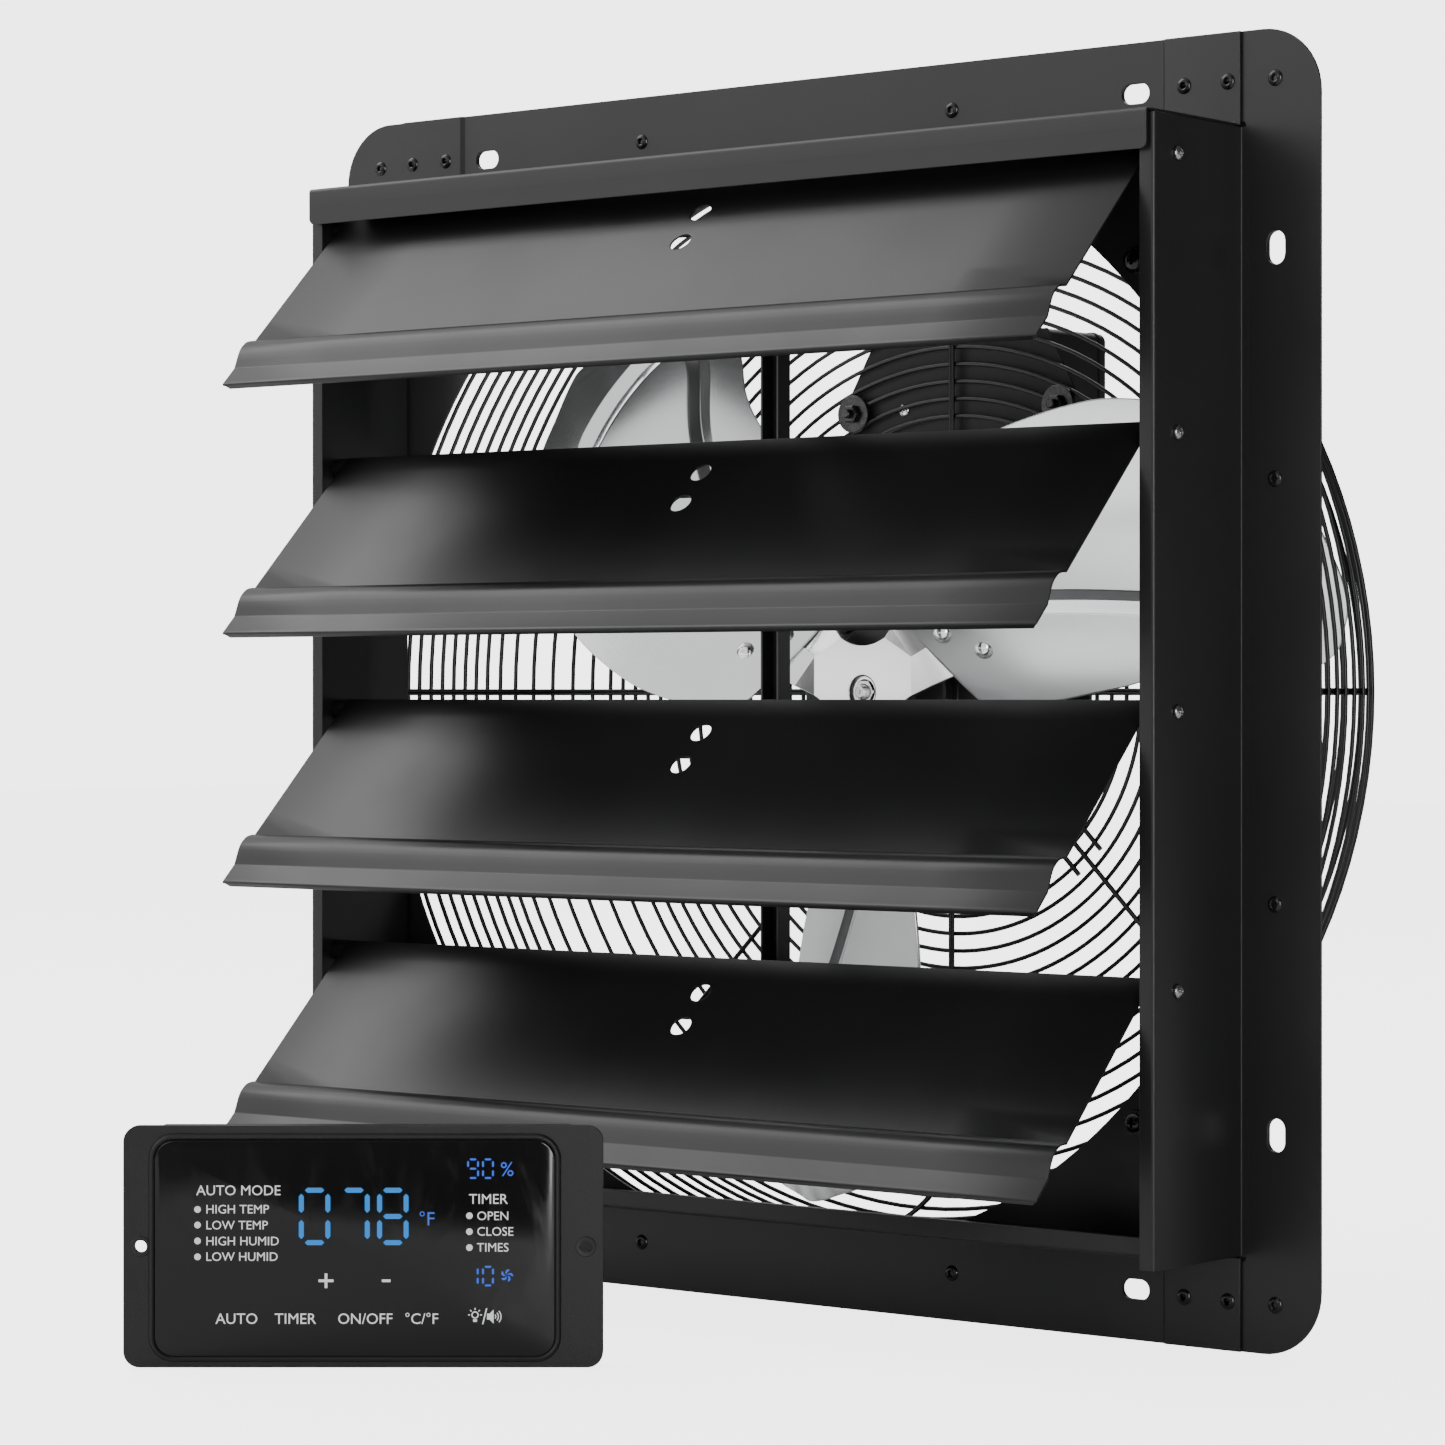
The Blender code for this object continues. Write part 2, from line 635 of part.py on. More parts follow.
def bottom_panel(relief):
    """Bottom of the box, nested between the side walls."""
    half_width = BOX_HALF_WIDTH - SHEET - GAP
    front = -BOX_DEPTH + BOTTOM_RECESS + SHEET / 2
    top = BOTTOM_PLATE_CENTRE - SHEET / 2 + BOTTOM_LIP_HEIGHT
    points = [(front, top), (front, BOTTOM_PLATE_CENTRE), (LAP_CENTRE, BOTTOM_PLATE_CENTRE)]
    surface = sheet_surface("bottom_panel", points, -half_width, half_width, "X")
    panel = add_part("bottom_panel", surface, black_sheet())
    thicken(panel, SHEET)
    reach = LAP_START - JOGGLE_LENGTH
    ends = [(LAP_CENTRE * 2, BOTTOM_PLATE_CENTRE), (SHEET / 2, BOTTOM_PLATE_CENTRE)]
    bridge = sheet_surface("bottom_bridge", ends,
                           -reach, reach, "X")
    for name, mesh in (("bottom_flange", flange_strip("bottom_flange", -FLANGE_HALF, BOTTOM_PLATE_CENTRE)),
                       ("bottom_bridge", bridge)):
        piece = add_cutter(name, mesh)
        thicken(piece, SHEET if name == "bottom_flange" else SHEET - MERGE * 2)
        combine(panel, piece, "UNION")
    work = bmesh.new()
    for side in (-1, 1):
        near = (side * half_width, -OVERRUN, -BOX_HALF_HEIGHT - GAP)
        far = (side * (LAP_END + OVERRUN), OVERRUN, 0)
        add_box(work, [min(pair) for pair in zip(near, far)], [max(pair) for pair in zip(near, far)])
    tool = add_cutter("bottom_wall_clearance", finish_mesh(work, "bottom_wall_clearance"))
    combine(panel, tool, "DIFFERENCE")
    combine(panel, slot_cutter("bottom_slots", -1), "DIFFERENCE")
    combine(panel, relief, "DIFFERENCE")
    return panel


def back_panel():
    """Plate behind the flanges with the round air hole."""
    half = FLANGE_HALF - BACK_PANEL_INSET
    loops = [rounded_outline(half, half, FLANGE_CORNER - BACK_PANEL_INSET)]
    loops.append(circle_outline((0, 0), AIR_HOLE_RADIUS, HOLE_SIDES))
    for sx in (-1, 1):
        for sz in (-1, 1):
            loops.append(slot_outline((sx * SLOT_OFFSET, sz * SLOT_LINE), True))
            loops.append(slot_outline((sx * SLOT_LINE, sz * SLOT_OFFSET), False))
            centre = (sx * GUARD_BOLT_OFFSET, sz * GUARD_BOLT_OFFSET)
            loops.append(circle_outline(centre, GUARD_BOLT_RADIUS + HOLE_CLEARANCE, SMALL_SIDES))
    mesh = flat_plate("back_panel", loops, SHEET, facing_front(BACK_PANEL_FRONT + SHEET / 2))
    return add_part("back_panel", mesh, black_sheet())


def louver_profile():
    """Middle line of a louver sheet, from its top edge to the end of its hem."""
    level = LOUVER_FACE - LOUVER_SHEET / 2
    crest = level + BEAD_HEIGHT
    points = [(LOUVER_TOP_EDGE, level), (-BEAD_START, level)]
    rise = BEAD_CREST_START - BEAD_START
    for share in (0.35, 0.7):
        along = BEAD_START + rise * share
        points.append((-along, level + BEAD_HEIGHT * math.sin(share * math.pi / 2)))
    points.append((-BEAD_CREST_START, crest))
    fall = BEAD_END - BEAD_CREST_END
    points.append((-BEAD_CREST_END, crest - BEAD_HEIGHT * 0.12))
    points.append((-(BEAD_CREST_END + fall * 0.4), crest - BEAD_HEIGHT * 0.5))
    points.append((-BEAD_END, level))
    tip = LOUVER_TIP - HEM_RADIUS - LOUVER_SHEET / 2
    for angle in np.linspace(math.pi / 2, -math.pi / 2, 5):
        low = level - HEM_RADIUS
        points.append((-(tip + HEM_RADIUS * math.cos(angle)), low + HEM_RADIUS * math.sin(angle)))
    points.append((-(tip - HEM_LENGTH), level - HEM_RADIUS * 2))
    return points


def louver_ear_outline():
    """Outline of the ear that holds the pivot, below the end of the louver."""
    top = LOUVER_FACE - LOUVER_SHEET / 2
    points = [(-EAR_RADIUS * 2, top), (LOUVER_TOP_EDGE, top)]
    points += arc_points((0, 0), EAR_RADIUS, math.radians(20), math.radians(-160), 7)
    return points


def louver(index, carrier):
    """One louver with its bead, hem, holes and end ears."""
    name = f"louver_{index + 1}"
    surface = sheet_surface(name, louver_profile(), -LOUVER_HALF_LENGTH, LOUVER_HALF_LENGTH, "X")
    blade = add_part(name, surface, black_sheet())
    blade.parent = carrier
    thicken(blade, LOUVER_SHEET)
    for side in (-1, 1):
        turn = Matrix.Rotation(math.pi / 2, 4, "Z") @ Matrix.Rotation(math.pi / 2, 4, "X")
        inset = LOUVER_HALF_LENGTH - GAP - LOUVER_SHEET
        place = Matrix.Translation((side * inset, 0, 0))
        ear_name = f"{name}_ear_{side + 2}"
        ear = flat_plate(ear_name, [louver_ear_outline()], LOUVER_SHEET * 2, place @ turn)
        tool = add_cutter(ear_name, ear)
        tool.parent = carrier
        combine(blade, tool, "UNION")
    work = bmesh.new()
    for along in (FIRST_HOLE, SECOND_HOLE):
        add_rod(work, (0, -along, 0), (0, -along, LOUVER_FACE + OVERRUN), LOUVER_HOLE_RADIUS, SMALL_SIDES)
    reach = LOUVER_HALF_LENGTH + OVERRUN
    add_rod(work, (-reach, 0, 0), (reach, 0, 0), PIVOT_RADIUS + RUNNING_CLEARANCE, SMALL_SIDES)
    tool = add_cutter(name + "_holes", finish_mesh(work, name + "_holes"))
    tool.parent = carrier
    combine(blade, tool, "DIFFERENCE")
    return blade


def pin_in_louver_frame():
    """Place of the link pin in the louver's own frame."""
    back, up = LINK_BAR_SETBACK, -LINK_BAR_DROP
    along = back * math.cos(OPEN_TILT) + up * math.sin(OPEN_TILT)
    out = -back * math.sin(OPEN_TILT) + up * math.cos(OPEN_TILT)
    return along, out


def link_arm(index, carrier):
    """Arm below the louver that drives, or is driven by, the link bar."""
    name = f"link_arm_{index + 1}"
    pin = Vector(pin_in_louver_frame())
    foot_top = LOUVER_FACE - LOUVER_SHEET - GAP
    foot_low = foot_top - ARM_FOOT_THICKNESS
    near = FIRST_HOLE + LOUVER_HOLE_RADIUS + ARM_FOOT_MARGIN
    far = SECOND_HOLE - LOUVER_HOLE_RADIUS - ARM_FOOT_MARGIN
    foot = Vector((-(near + far) / 2, foot_low))
    direction = (foot - pin).normalized()
    side = Vector((-direction.y, direction.x))
    angle = math.atan2(side.y, side.x)
    outline = arc_points(pin, ARM_EYE_RADIUS, angle, angle + math.pi, 7)
    outline += [(-near, foot_low + ARM_FOOT_THICKNESS / 2), (-far, foot_low + ARM_FOOT_THICKNESS / 2)]
    loops = [outline, circle_outline(pin, LINK_PIN_RADIUS + RUNNING_CLEARANCE, SMALL_SIDES)]
    turn = Matrix.Rotation(math.pi / 2, 4, "Z") @ Matrix.Rotation(math.pi / 2, 4, "X")
    arm = add_part(name, flat_plate(name, loops, ARM_SHEET, turn), black_sheet())
    arm.parent = carrier
    work = bmesh.new()
    add_box(work, (-ARM_FOOT_HALF_WIDTH, -far, foot_low), (ARM_FOOT_HALF_WIDTH, -near, foot_top))
    tool = add_cutter(name + "_foot", finish_mesh(work, name + "_foot"))
    tool.parent = carrier
    combine(arm, tool, "UNION")
    return arm


def pivot_screw(name, side, height):
    """Screw that carries one end of a louver, with its pan head outside the wall."""
    head = BOX_HALF_WIDTH + GAP
    tail = LOUVER_HALF_LENGTH - LOUVER_SHEET - PIVOT_TAIL
    profile = [
        (0, head + PIVOT_HEAD_HEIGHT),
        (PIVOT_HEAD_RADIUS * 0.7, head + PIVOT_HEAD_HEIGHT * 0.85),
        (PIVOT_HEAD_RADIUS, head + PIVOT_HEAD_HEIGHT * 0.35),
        (PIVOT_HEAD_RADIUS, head),
        (PIVOT_RADIUS, head),
        (PIVOT_RADIUS, tail),
        (0, tail),
    ]
    screw = turned(name, profile, SMALL_SIDES, "X", (0, PIVOT_Y, height), zinc_steel())
    if side < 0:
        screw.rotation_euler = (0, -math.pi / 2, 0)
    return screw


def pivot_bush(name, side, height):
    """Flanged bush that sits in the wall and keeps the louver centred."""
    wall = BOX_HALF_WIDTH - SHEET
    bore = PIVOT_RADIUS + RUNNING_CLEARANCE
    face = LOUVER_HALF_LENGTH + GAP
    profile = [
        (bore, BOX_HALF_WIDTH),
        (BUSH_NECK_RADIUS, BOX_HALF_WIDTH),
        (BUSH_NECK_RADIUS, wall - GAP),
        (BUSH_RADIUS, wall - GAP),
        (BUSH_RADIUS, face),
        (bore, face),
    ]
    bush = turned(name, profile, SMALL_SIDES, "X", (0, PIVOT_Y, height), bush_plastic(), closed=True)
    if side < 0:
        bush.rotation_euler = (0, -math.pi / 2, 0)
    return bush


def link_bar():
    """Vertical U channel that ties the louvers together, open to the front."""
    bar_y = PIVOT_Y + LINK_BAR_SETBACK
    edge = LINK_BAR_HALF_WIDTH - LINK_BAR_SHEET / 2
    front = bar_y - LINK_BAR_THICKNESS / 2
    back = bar_y + LINK_BAR_THICKNESS / 2 - LINK_BAR_SHEET / 2
    low = PIVOT_HEIGHTS[-1] - LINK_BAR_DROP - LINK_BAR_BOTTOM_MARGIN
    high = PIVOT_HEIGHTS[0] - LINK_BAR_DROP + LINK_BAR_TOP_MARGIN
    points = [(-edge, front), (-edge, back), (edge, back), (edge, front)]
    bar = add_part("link_bar", sheet_surface("link_bar", points, low, high, "Z"), black_sheet())
    thicken(bar, LINK_BAR_SHEET)
    work = bmesh.new()
    for height in PIVOT_HEIGHTS:
        place = Vector((0, bar_y, height - LINK_BAR_DROP))
        reach = Vector((LINK_BAR_HALF_WIDTH + OVERRUN, 0, 0))
        add_rod(work, place - reach, place + reach, LINK_PIN_RADIUS + GAP, SMALL_SIDES)
    combine(bar, add_cutter("link_bar_holes", finish_mesh(work, "link_bar_holes")), "DIFFERENCE")
    return bar


def link_pin(index):
    """Headed pin through the link bar and one arm."""
    head = LINK_BAR_HALF_WIDTH + GAP
    end = head + LINK_PIN_HEAD_HEIGHT
    profile = [
        (0, end),
        (LINK_PIN_HEAD_RADIUS, end),
        (LINK_PIN_HEAD_RADIUS, head),
        (LINK_PIN_RADIUS, head),
        (LINK_PIN_RADIUS, -head),
        (LINK_PIN_HEAD_RADIUS, -head),
        (LINK_PIN_HEAD_RADIUS, -end),
        (0, -end),
    ]
    place = (0, PIVOT_Y + LINK_BAR_SETBACK, PIVOT_HEIGHTS[index] - LINK_BAR_DROP)
    return turned(f"link_pin_{index + 1}", profile, SMALL_SIDES, "X", place, zinc_steel())


def blade_edges(along):
    """Trailing and leading edge of a blade across its axis, at a distance along it."""
    table = np.array(BLADE_OUTLINE_SHARES) * WHEEL_RADIUS
    leading = np.interp(along, table[:, 0], table[:, 1])
    trailing = np.interp(along, table[:, 0], table[:, 2])
    return float(trailing), -float(leading)


def blade_depth(along, across, rib=0):
    """Depth of the blade's middle surface: its slope falls from root to tip."""
    root, tip = math.tan(BLADE_ROOT_PITCH), math.tan(BLADE_TIP_PITCH)
    slope = root + (tip - root) * along / WHEEL_RADIUS
    return BLADE_FRONT + BLADE_SHEET / 2 - across * slope + RIB_DEPTH * rib


def blade_grid():
    """Grid of (along, across, depth) points of one blade, with three columns on its rib."""
    path = np.array(RIB_SHARES) * WHEEL_RADIUS
    rows = []
    for share, _, _ in BLADE_OUTLINE_SHARES:
        along = share * WHEEL_RADIUS
        trailing, leading = blade_edges(along)
        width = trailing - leading
        half = min(RIB_HALF_WIDTH, width * 0.15)
        middle = -float(np.interp(along, path[:, 0], path[:, 1]))
        middle = min(max(middle, leading + width * 0.12), trailing - width * 0.2)
        across = [leading, (leading + middle - half) / 2, middle - half, middle, middle + half]
        across += [middle + half + (trailing - middle - half) * part for part in (0.33, 0.66, 1)]
        ribbed = 1 if path[0][0] < along < path[-1][0] else 0
        rows.append([(along, b, blade_depth(along, b, ribbed if index == 3 else 0))
                     for index, b in enumerate(across)])
    return rows


def blade(index, carrier):
    """One paddle blade, lofted through its stations."""
    name = f"blade_{index + 1}"
    angle = BLADE_ANGLES[index]
    work = bmesh.new()
    grid = []
    for row in blade_grid():
        line = []
        for along, across, depth in row:
            x = along * math.cos(angle) - across * math.sin(angle)
            z = along * math.sin(angle) + across * math.cos(angle)
            line.append(work.verts.new((x, depth, z)))
        grid.append(line)
    for lower, upper in zip(grid, grid[1:]):
        for corner in range(len(lower) - 1):
            work.faces.new((lower[corner], lower[corner + 1], upper[corner + 1], upper[corner]))
    part = add_part(name, finish_mesh(work, name), bright_blade())
    part.parent = carrier
    thicken(part, BLADE_SHEET, even=False)
    part.data.shade_smooth()
    return part


def hub_depth(along, across):
    """Depth of the hub's middle surface: flat six-sided centre, then a slope to the pitched arm."""
    out = along * math.cos(math.pi / 6) + abs(across) * math.sin(math.pi / 6)
    share = min(1, max(0, (out - HUB_HEX_INNER_RADIUS) / HUB_SLOPE_WIDTH))
    behind = (BLADE_SHEET / 2 + HUB_SHEET / 2) / math.cos(BLADE_ROOT_PITCH) + GAP
    arm = blade_depth(along, across) + behind
    flat = HUB_FRONT + HUB_SHEET / 2
    return flat + (arm - flat) * share


def hub_surface():
    """Polar grid of the hub's middle surface, with one ring of points on the edge of its flat centre."""
    sector = math.tau / BLADE_COUNT
    steps = 10
    work = bmesh.new()
    rows = []
    for place in range(7):
        row = []
        for step in range(steps * BLADE_COUNT):
            turn = (step % steps) / steps * sector - sector / 2
            angle = BLADE_ANGLES[step // steps] + turn
            facet = abs(turn) - math.pi / 6
            flat_edge = HUB_HEX_INNER_RADIUS / math.cos(facet)
            slope_end = flat_edge * (HUB_HEX_INNER_RADIUS + HUB_SLOPE_WIDTH) / HUB_HEX_INNER_RADIUS
            outside = (HUB_ARM_LENGTH + OVERRUN) * 1.1
            radius = (SHAFT_RADIUS / 2, flat_edge / 2, flat_edge, (flat_edge + slope_end) / 2, slope_end,
                      (slope_end + outside) / 2, outside)[place]
            along, across = radius * math.cos(turn), radius * math.sin(turn)
            depth = hub_depth(along, across)
            row.append(work.verts.new((radius * math.cos(angle), depth, radius * math.sin(angle))))
        rows.append(row)
    for lower, upper in zip(rows, rows[1:]):
        for corner in range(len(lower)):
            after = (corner + 1) % len(lower)
            work.faces.new((lower[corner], lower[after], upper[after], upper[corner]))
    return finish_mesh(work, "hub")


def hub_outline():
    """Plan of the hub: three arms with rounded ends and a scallop between each two."""
    half = HUB_ARM_HALF_WIDTH
    spread = math.pi / BLADE_COUNT
    centre = (HUB_SCALLOP_DISTANCE * math.cos(spread), HUB_SCALLOP_DISTANCE * math.sin(spread))
    start = math.asin((half - centre[1]) / HUB_SCALLOP_RADIUS)
    points = []
    for angle in BLADE_ANGLES:
        corner = HUB_ARM_CORNER
        end = (HUB_ARM_LENGTH - corner, half - corner)
        local = arc_points((end[0], -end[1]), corner, -math.pi / 2, 0, 4)
        local += arc_points(end, corner, 0, math.pi / 2, 4)
        first = start + math.tau
        last = (spread + math.pi) * 2 - first
        local += arc_points(centre, HUB_SCALLOP_RADIUS, first, last, 13)
        turn = Matrix.Rotation(angle, 2)
        points += [tuple(turn @ Vector(point)) for point in local]
    return points


def hub(carrier):
    """Pressed hub: flat six-sided centre, sloped facets, three pitched arms, and a boss behind."""
    centre = add_part("hub", hub_surface(), cast_hub())
    centre.parent = carrier
    thicken(centre, HUB_SHEET, even=False)
    plan = flat_plate("hub_plan", [hub_outline()], MOTOR_BODY_BACK, facing_front(HUB_FRONT))
    tool = add_cutter("hub_plan", plan)
    tool.parent = carrier
    combine(centre, tool, "INTERSECT")
    work = bmesh.new()
    middle = HUB_FRONT + HUB_SHEET / 2
    add_rod(work, (0, middle, 0), (0, MOTOR_NOSE_FRONT - SHEET, 0), HUB_BOSS_RADIUS, SMALL_SIDES * 2)
    tool = add_cutter("hub_boss", finish_mesh(work, "hub_boss"))
    tool.parent = carrier
    combine(centre, tool, "UNION")
    work = bmesh.new()
    recess = HUB_FRONT + HUB_RECESS_DEPTH
    add_rod(work, (0, HUB_FRONT - OVERRUN, 0), (0, recess, 0), HUB_RECESS_RADIUS, SMALL_SIDES * 2)
    tool = add_cutter("hub_recess", finish_mesh(work, "hub_recess"))
    tool.parent = carrier
    combine(centre, tool, "DIFFERENCE")
    work = bmesh.new()
    add_rod(work, (0, recess - OVERRUN / 2, 0), (0, MOTOR_BODY_FRONT, 0), SHAFT_RADIUS + GAP, SMALL_SIDES * 2)
    tool = add_cutter("hub_bore", finish_mesh(work, "hub_bore"))
    tool.parent = carrier
    combine(centre, tool, "DIFFERENCE")
    return centre


def shaft_and_nut(carrier):
    """Motor shaft with its threaded front end, and the nut that holds the hub."""
    shoulder = HUB_FRONT + HUB_RECESS_DEPTH + GAP
    back = MOTOR_BODY_BACK - GAP
    profile = [(0, back), (SHAFT_RADIUS, back), (SHAFT_RADIUS, shoulder), (THREAD_RADIUS, shoulder),
               (THREAD_RADIUS, THREAD_FRONT), (0, THREAD_FRONT)]
    shaft = turned("shaft", profile, SMALL_SIDES * 2, "Y", (0, 0, 0), zinc_steel())
    front = shoulder - GAP * 2 - NUT_HEIGHT
    bore = (THREAD_RADIUS + GAP) / math.cos(math.pi / 6)
    end = front + NUT_HEIGHT
    profile = [(bore, end), (NUT_RADIUS, end), (NUT_RADIUS, front), (bore, front)]
    nut = turned("hub_nut", profile, 6, "Y", (0, 0, 0), zinc_steel(), closed=True)
    for part in (shaft, nut):
        part.parent = carrier
        part.matrix_parent_inverse = Matrix.Identity(4)


def motor(carrier):
    """Motor: housing, rear cover, two bearings, stator, and the rotor on the shaft."""
    shaft_hole = SHAFT_RADIUS + RUNNING_CLEARANCE * 2
    inner = MOTOR_BODY_RADIUS - MOTOR_FIN_HEIGHT - MOTOR_WALL
    seat = BEARING_RADIUS + GAP
    seat_front = MOTOR_NOSE_FRONT + MOTOR_WALL
    body_inside = MOTOR_BODY_FRONT + MOTOR_WALL
    profile = [(inner, MOTOR_BODY_BACK)]
    root = MOTOR_BODY_RADIUS - MOTOR_FIN_HEIGHT
    pitch = (MOTOR_BODY_BACK - MOTOR_BODY_FRONT) / (MOTOR_FIN_COUNT * 2 - 1)
    for index in range(MOTOR_FIN_COUNT):
        back = MOTOR_BODY_BACK - pitch * 2 * index
        profile += [(MOTOR_BODY_RADIUS, back), (MOTOR_BODY_RADIUS, back - pitch)]
        if index < MOTOR_FIN_COUNT - 1:
            profile += [(root, back - pitch), (root, back - pitch * 2)]
    profile += [(MOTOR_NOSE_RADIUS, MOTOR_BODY_FRONT), (MOTOR_NOSE_RADIUS, MOTOR_NOSE_FRONT + MOTOR_WALL / 2),
                (MOTOR_NOSE_RADIUS - MOTOR_WALL / 2, MOTOR_NOSE_FRONT), (shaft_hole, MOTOR_NOSE_FRONT),
                (shaft_hole, seat_front), (seat, seat_front), (seat, body_inside), (inner, body_inside)]
    turned("motor_housing", profile, BODY_SIDES, "Y", (0, 0, 0), motor_paint(), closed=True)

    cover_front = MOTOR_BODY_BACK + GAP
    cover_back = cover_front + MOTOR_COVER_THICKNESS
    boss_front = MOTOR_BODY_BACK - BEARING_WIDTH
    boss = BEARING_RADIUS + GAP + BEARING_WALL
    profile = [(0, cover_back), (MOTOR_BODY_RADIUS, cover_back), (MOTOR_BODY_RADIUS, cover_front),
               (boss, cover_front), (boss, boss_front), (seat, boss_front), (seat, cover_front),
               (0, cover_front)]
    turned("motor_rear_cover", profile, BODY_SIDES, "Y", (0, 0, 0), motor_paint())

    bore = SHAFT_RADIUS + GAP
    for name, front in (("bearing_front", seat_front + GAP), ("bearing_rear", boss_front)):
        end = front + BEARING_WIDTH
        profile = [(bore, end), (BEARING_RADIUS, end), (BEARING_RADIUS, front), (bore, front)]
        turned(name, profile, SMALL_SIDES * 2, "Y", (0, 0, 0), zinc_steel(), closed=True)

    stator_front = body_inside + STATOR_MARGIN
    stator_back = boss_front - STATOR_MARGIN
    outer = inner - GAP
    stator_bore = outer - STATOR_THICKNESS
    profile = [(stator_bore, stator_back), (outer, stator_back), (outer, stator_front),
               (stator_bore, stator_front)]
    turned("stator", profile, BODY_SIDES, "Y", (0, 0, 0), copper_winding(), closed=True)

    rotor_front, rotor_back = stator_front + ROTOR_END_MARGIN, stator_back - ROTOR_END_MARGIN
    outer = stator_bore - AIR_GAP
    profile = [(bore, rotor_back), (outer, rotor_back), (outer, rotor_front), (bore, rotor_front)]
    rotor = turned("rotor", profile, BODY_SIDES, "Y", (0, 0, 0), zinc_steel(), closed=True)
    rotor.parent = carrier

    back = GUARD_FLAT - RING_WIRE - GAP
    front = cover_back + GAP
    profile = [(0, back), (BRACKET_RADIUS, back), (BRACKET_RADIUS, front), (0, front)]
    turned("motor_mount_bracket", profile, BODY_SIDES, "Y", (0, 0, 0), black_wire())


def guard_rings():
    """Radius and depth of every ring of the guard, from the middle to the base."""
    flat = np.linspace(GUARD_INNER_RADIUS, GUARD_FLAT_RADIUS, FLAT_RING_COUNT)
    rings = [(radius, GUARD_FLAT) for radius in flat]
    start = Vector((GUARD_FLAT_RADIUS, GUARD_FLAT))
    middle = Vector((GUARD_SHOULDER_RADIUS, GUARD_SHOULDER_DEPTH))
    end = Vector((GUARD_SIDE_RADIUS, GUARD_SIDE_DEPTH))
    for index in range(1, CORNER_RING_COUNT + 1):
        t = index / CORNER_RING_COUNT
        rings.append(tuple(start * (1 - t) ** 2 + middle * (2 * t * (1 - t)) + end * t ** 2))
    base = Vector((GUARD_BASE_RADIUS, guard_base_depth()))
    for index in range(1, SIDE_RING_COUNT + 1):
        rings.append(tuple(end.lerp(base, index / SIDE_RING_COUNT)))
    return rings


def guard_base_depth():
    """Depth of the lowest ring's middle, just off the back panel."""
    return BACK_PANEL_BACK + GAP + SPOKE_WIRE


def guard_spoke(name, angle, offset):
    """One bent wire from the middle of the guard to its base."""
    rings = guard_rings()
    shift = RING_WIRE + SPOKE_WIRE - WELD_DEPTH
    path = [(rings[0][0] - RING_WIRE, GUARD_FLAT + shift)]
    last = len(rings) - 1
    for index in range(FLAT_RING_COUNT - 1, len(rings)):
        before, after = Vector(rings[max(index - 1, 0)]), Vector(rings[min(index + 1, last)])
        run = (after - before).normalized()
        path.append((rings[index][0] - run.y * shift, rings[index][1] + run.x * shift))
    path[-1] = (path[-1][0], BACK_PANEL_BACK + GAP)
    curve = bpy.data.curves.new(name, "CURVE")
    curve.dimensions = "3D"
    curve.bevel_depth = SPOKE_WIRE
    curve.bevel_resolution = 0
    curve.use_fill_caps = True
    spline = curve.splines.new("POLY")
    spline.points.add(len(path) - 1)
    for point, (radius, depth) in zip(spline.points, path):
        x = radius * math.cos(angle) - offset * math.sin(angle)
        z = radius * math.sin(angle) + offset * math.cos(angle)
        point.co = (x, depth, z, 1)
        point.tilt = math.pi / 4
    carrier = bpy.data.objects.new(name, curve)
    cutters.objects.link(carrier)
    bpy.context.view_layer.update()
    mesh = bpy.data.meshes.new_from_object(carrier.evaluated_get(bpy.context.evaluated_depsgraph_get()))
    bpy.data.objects.remove(carrier)
    return mesh


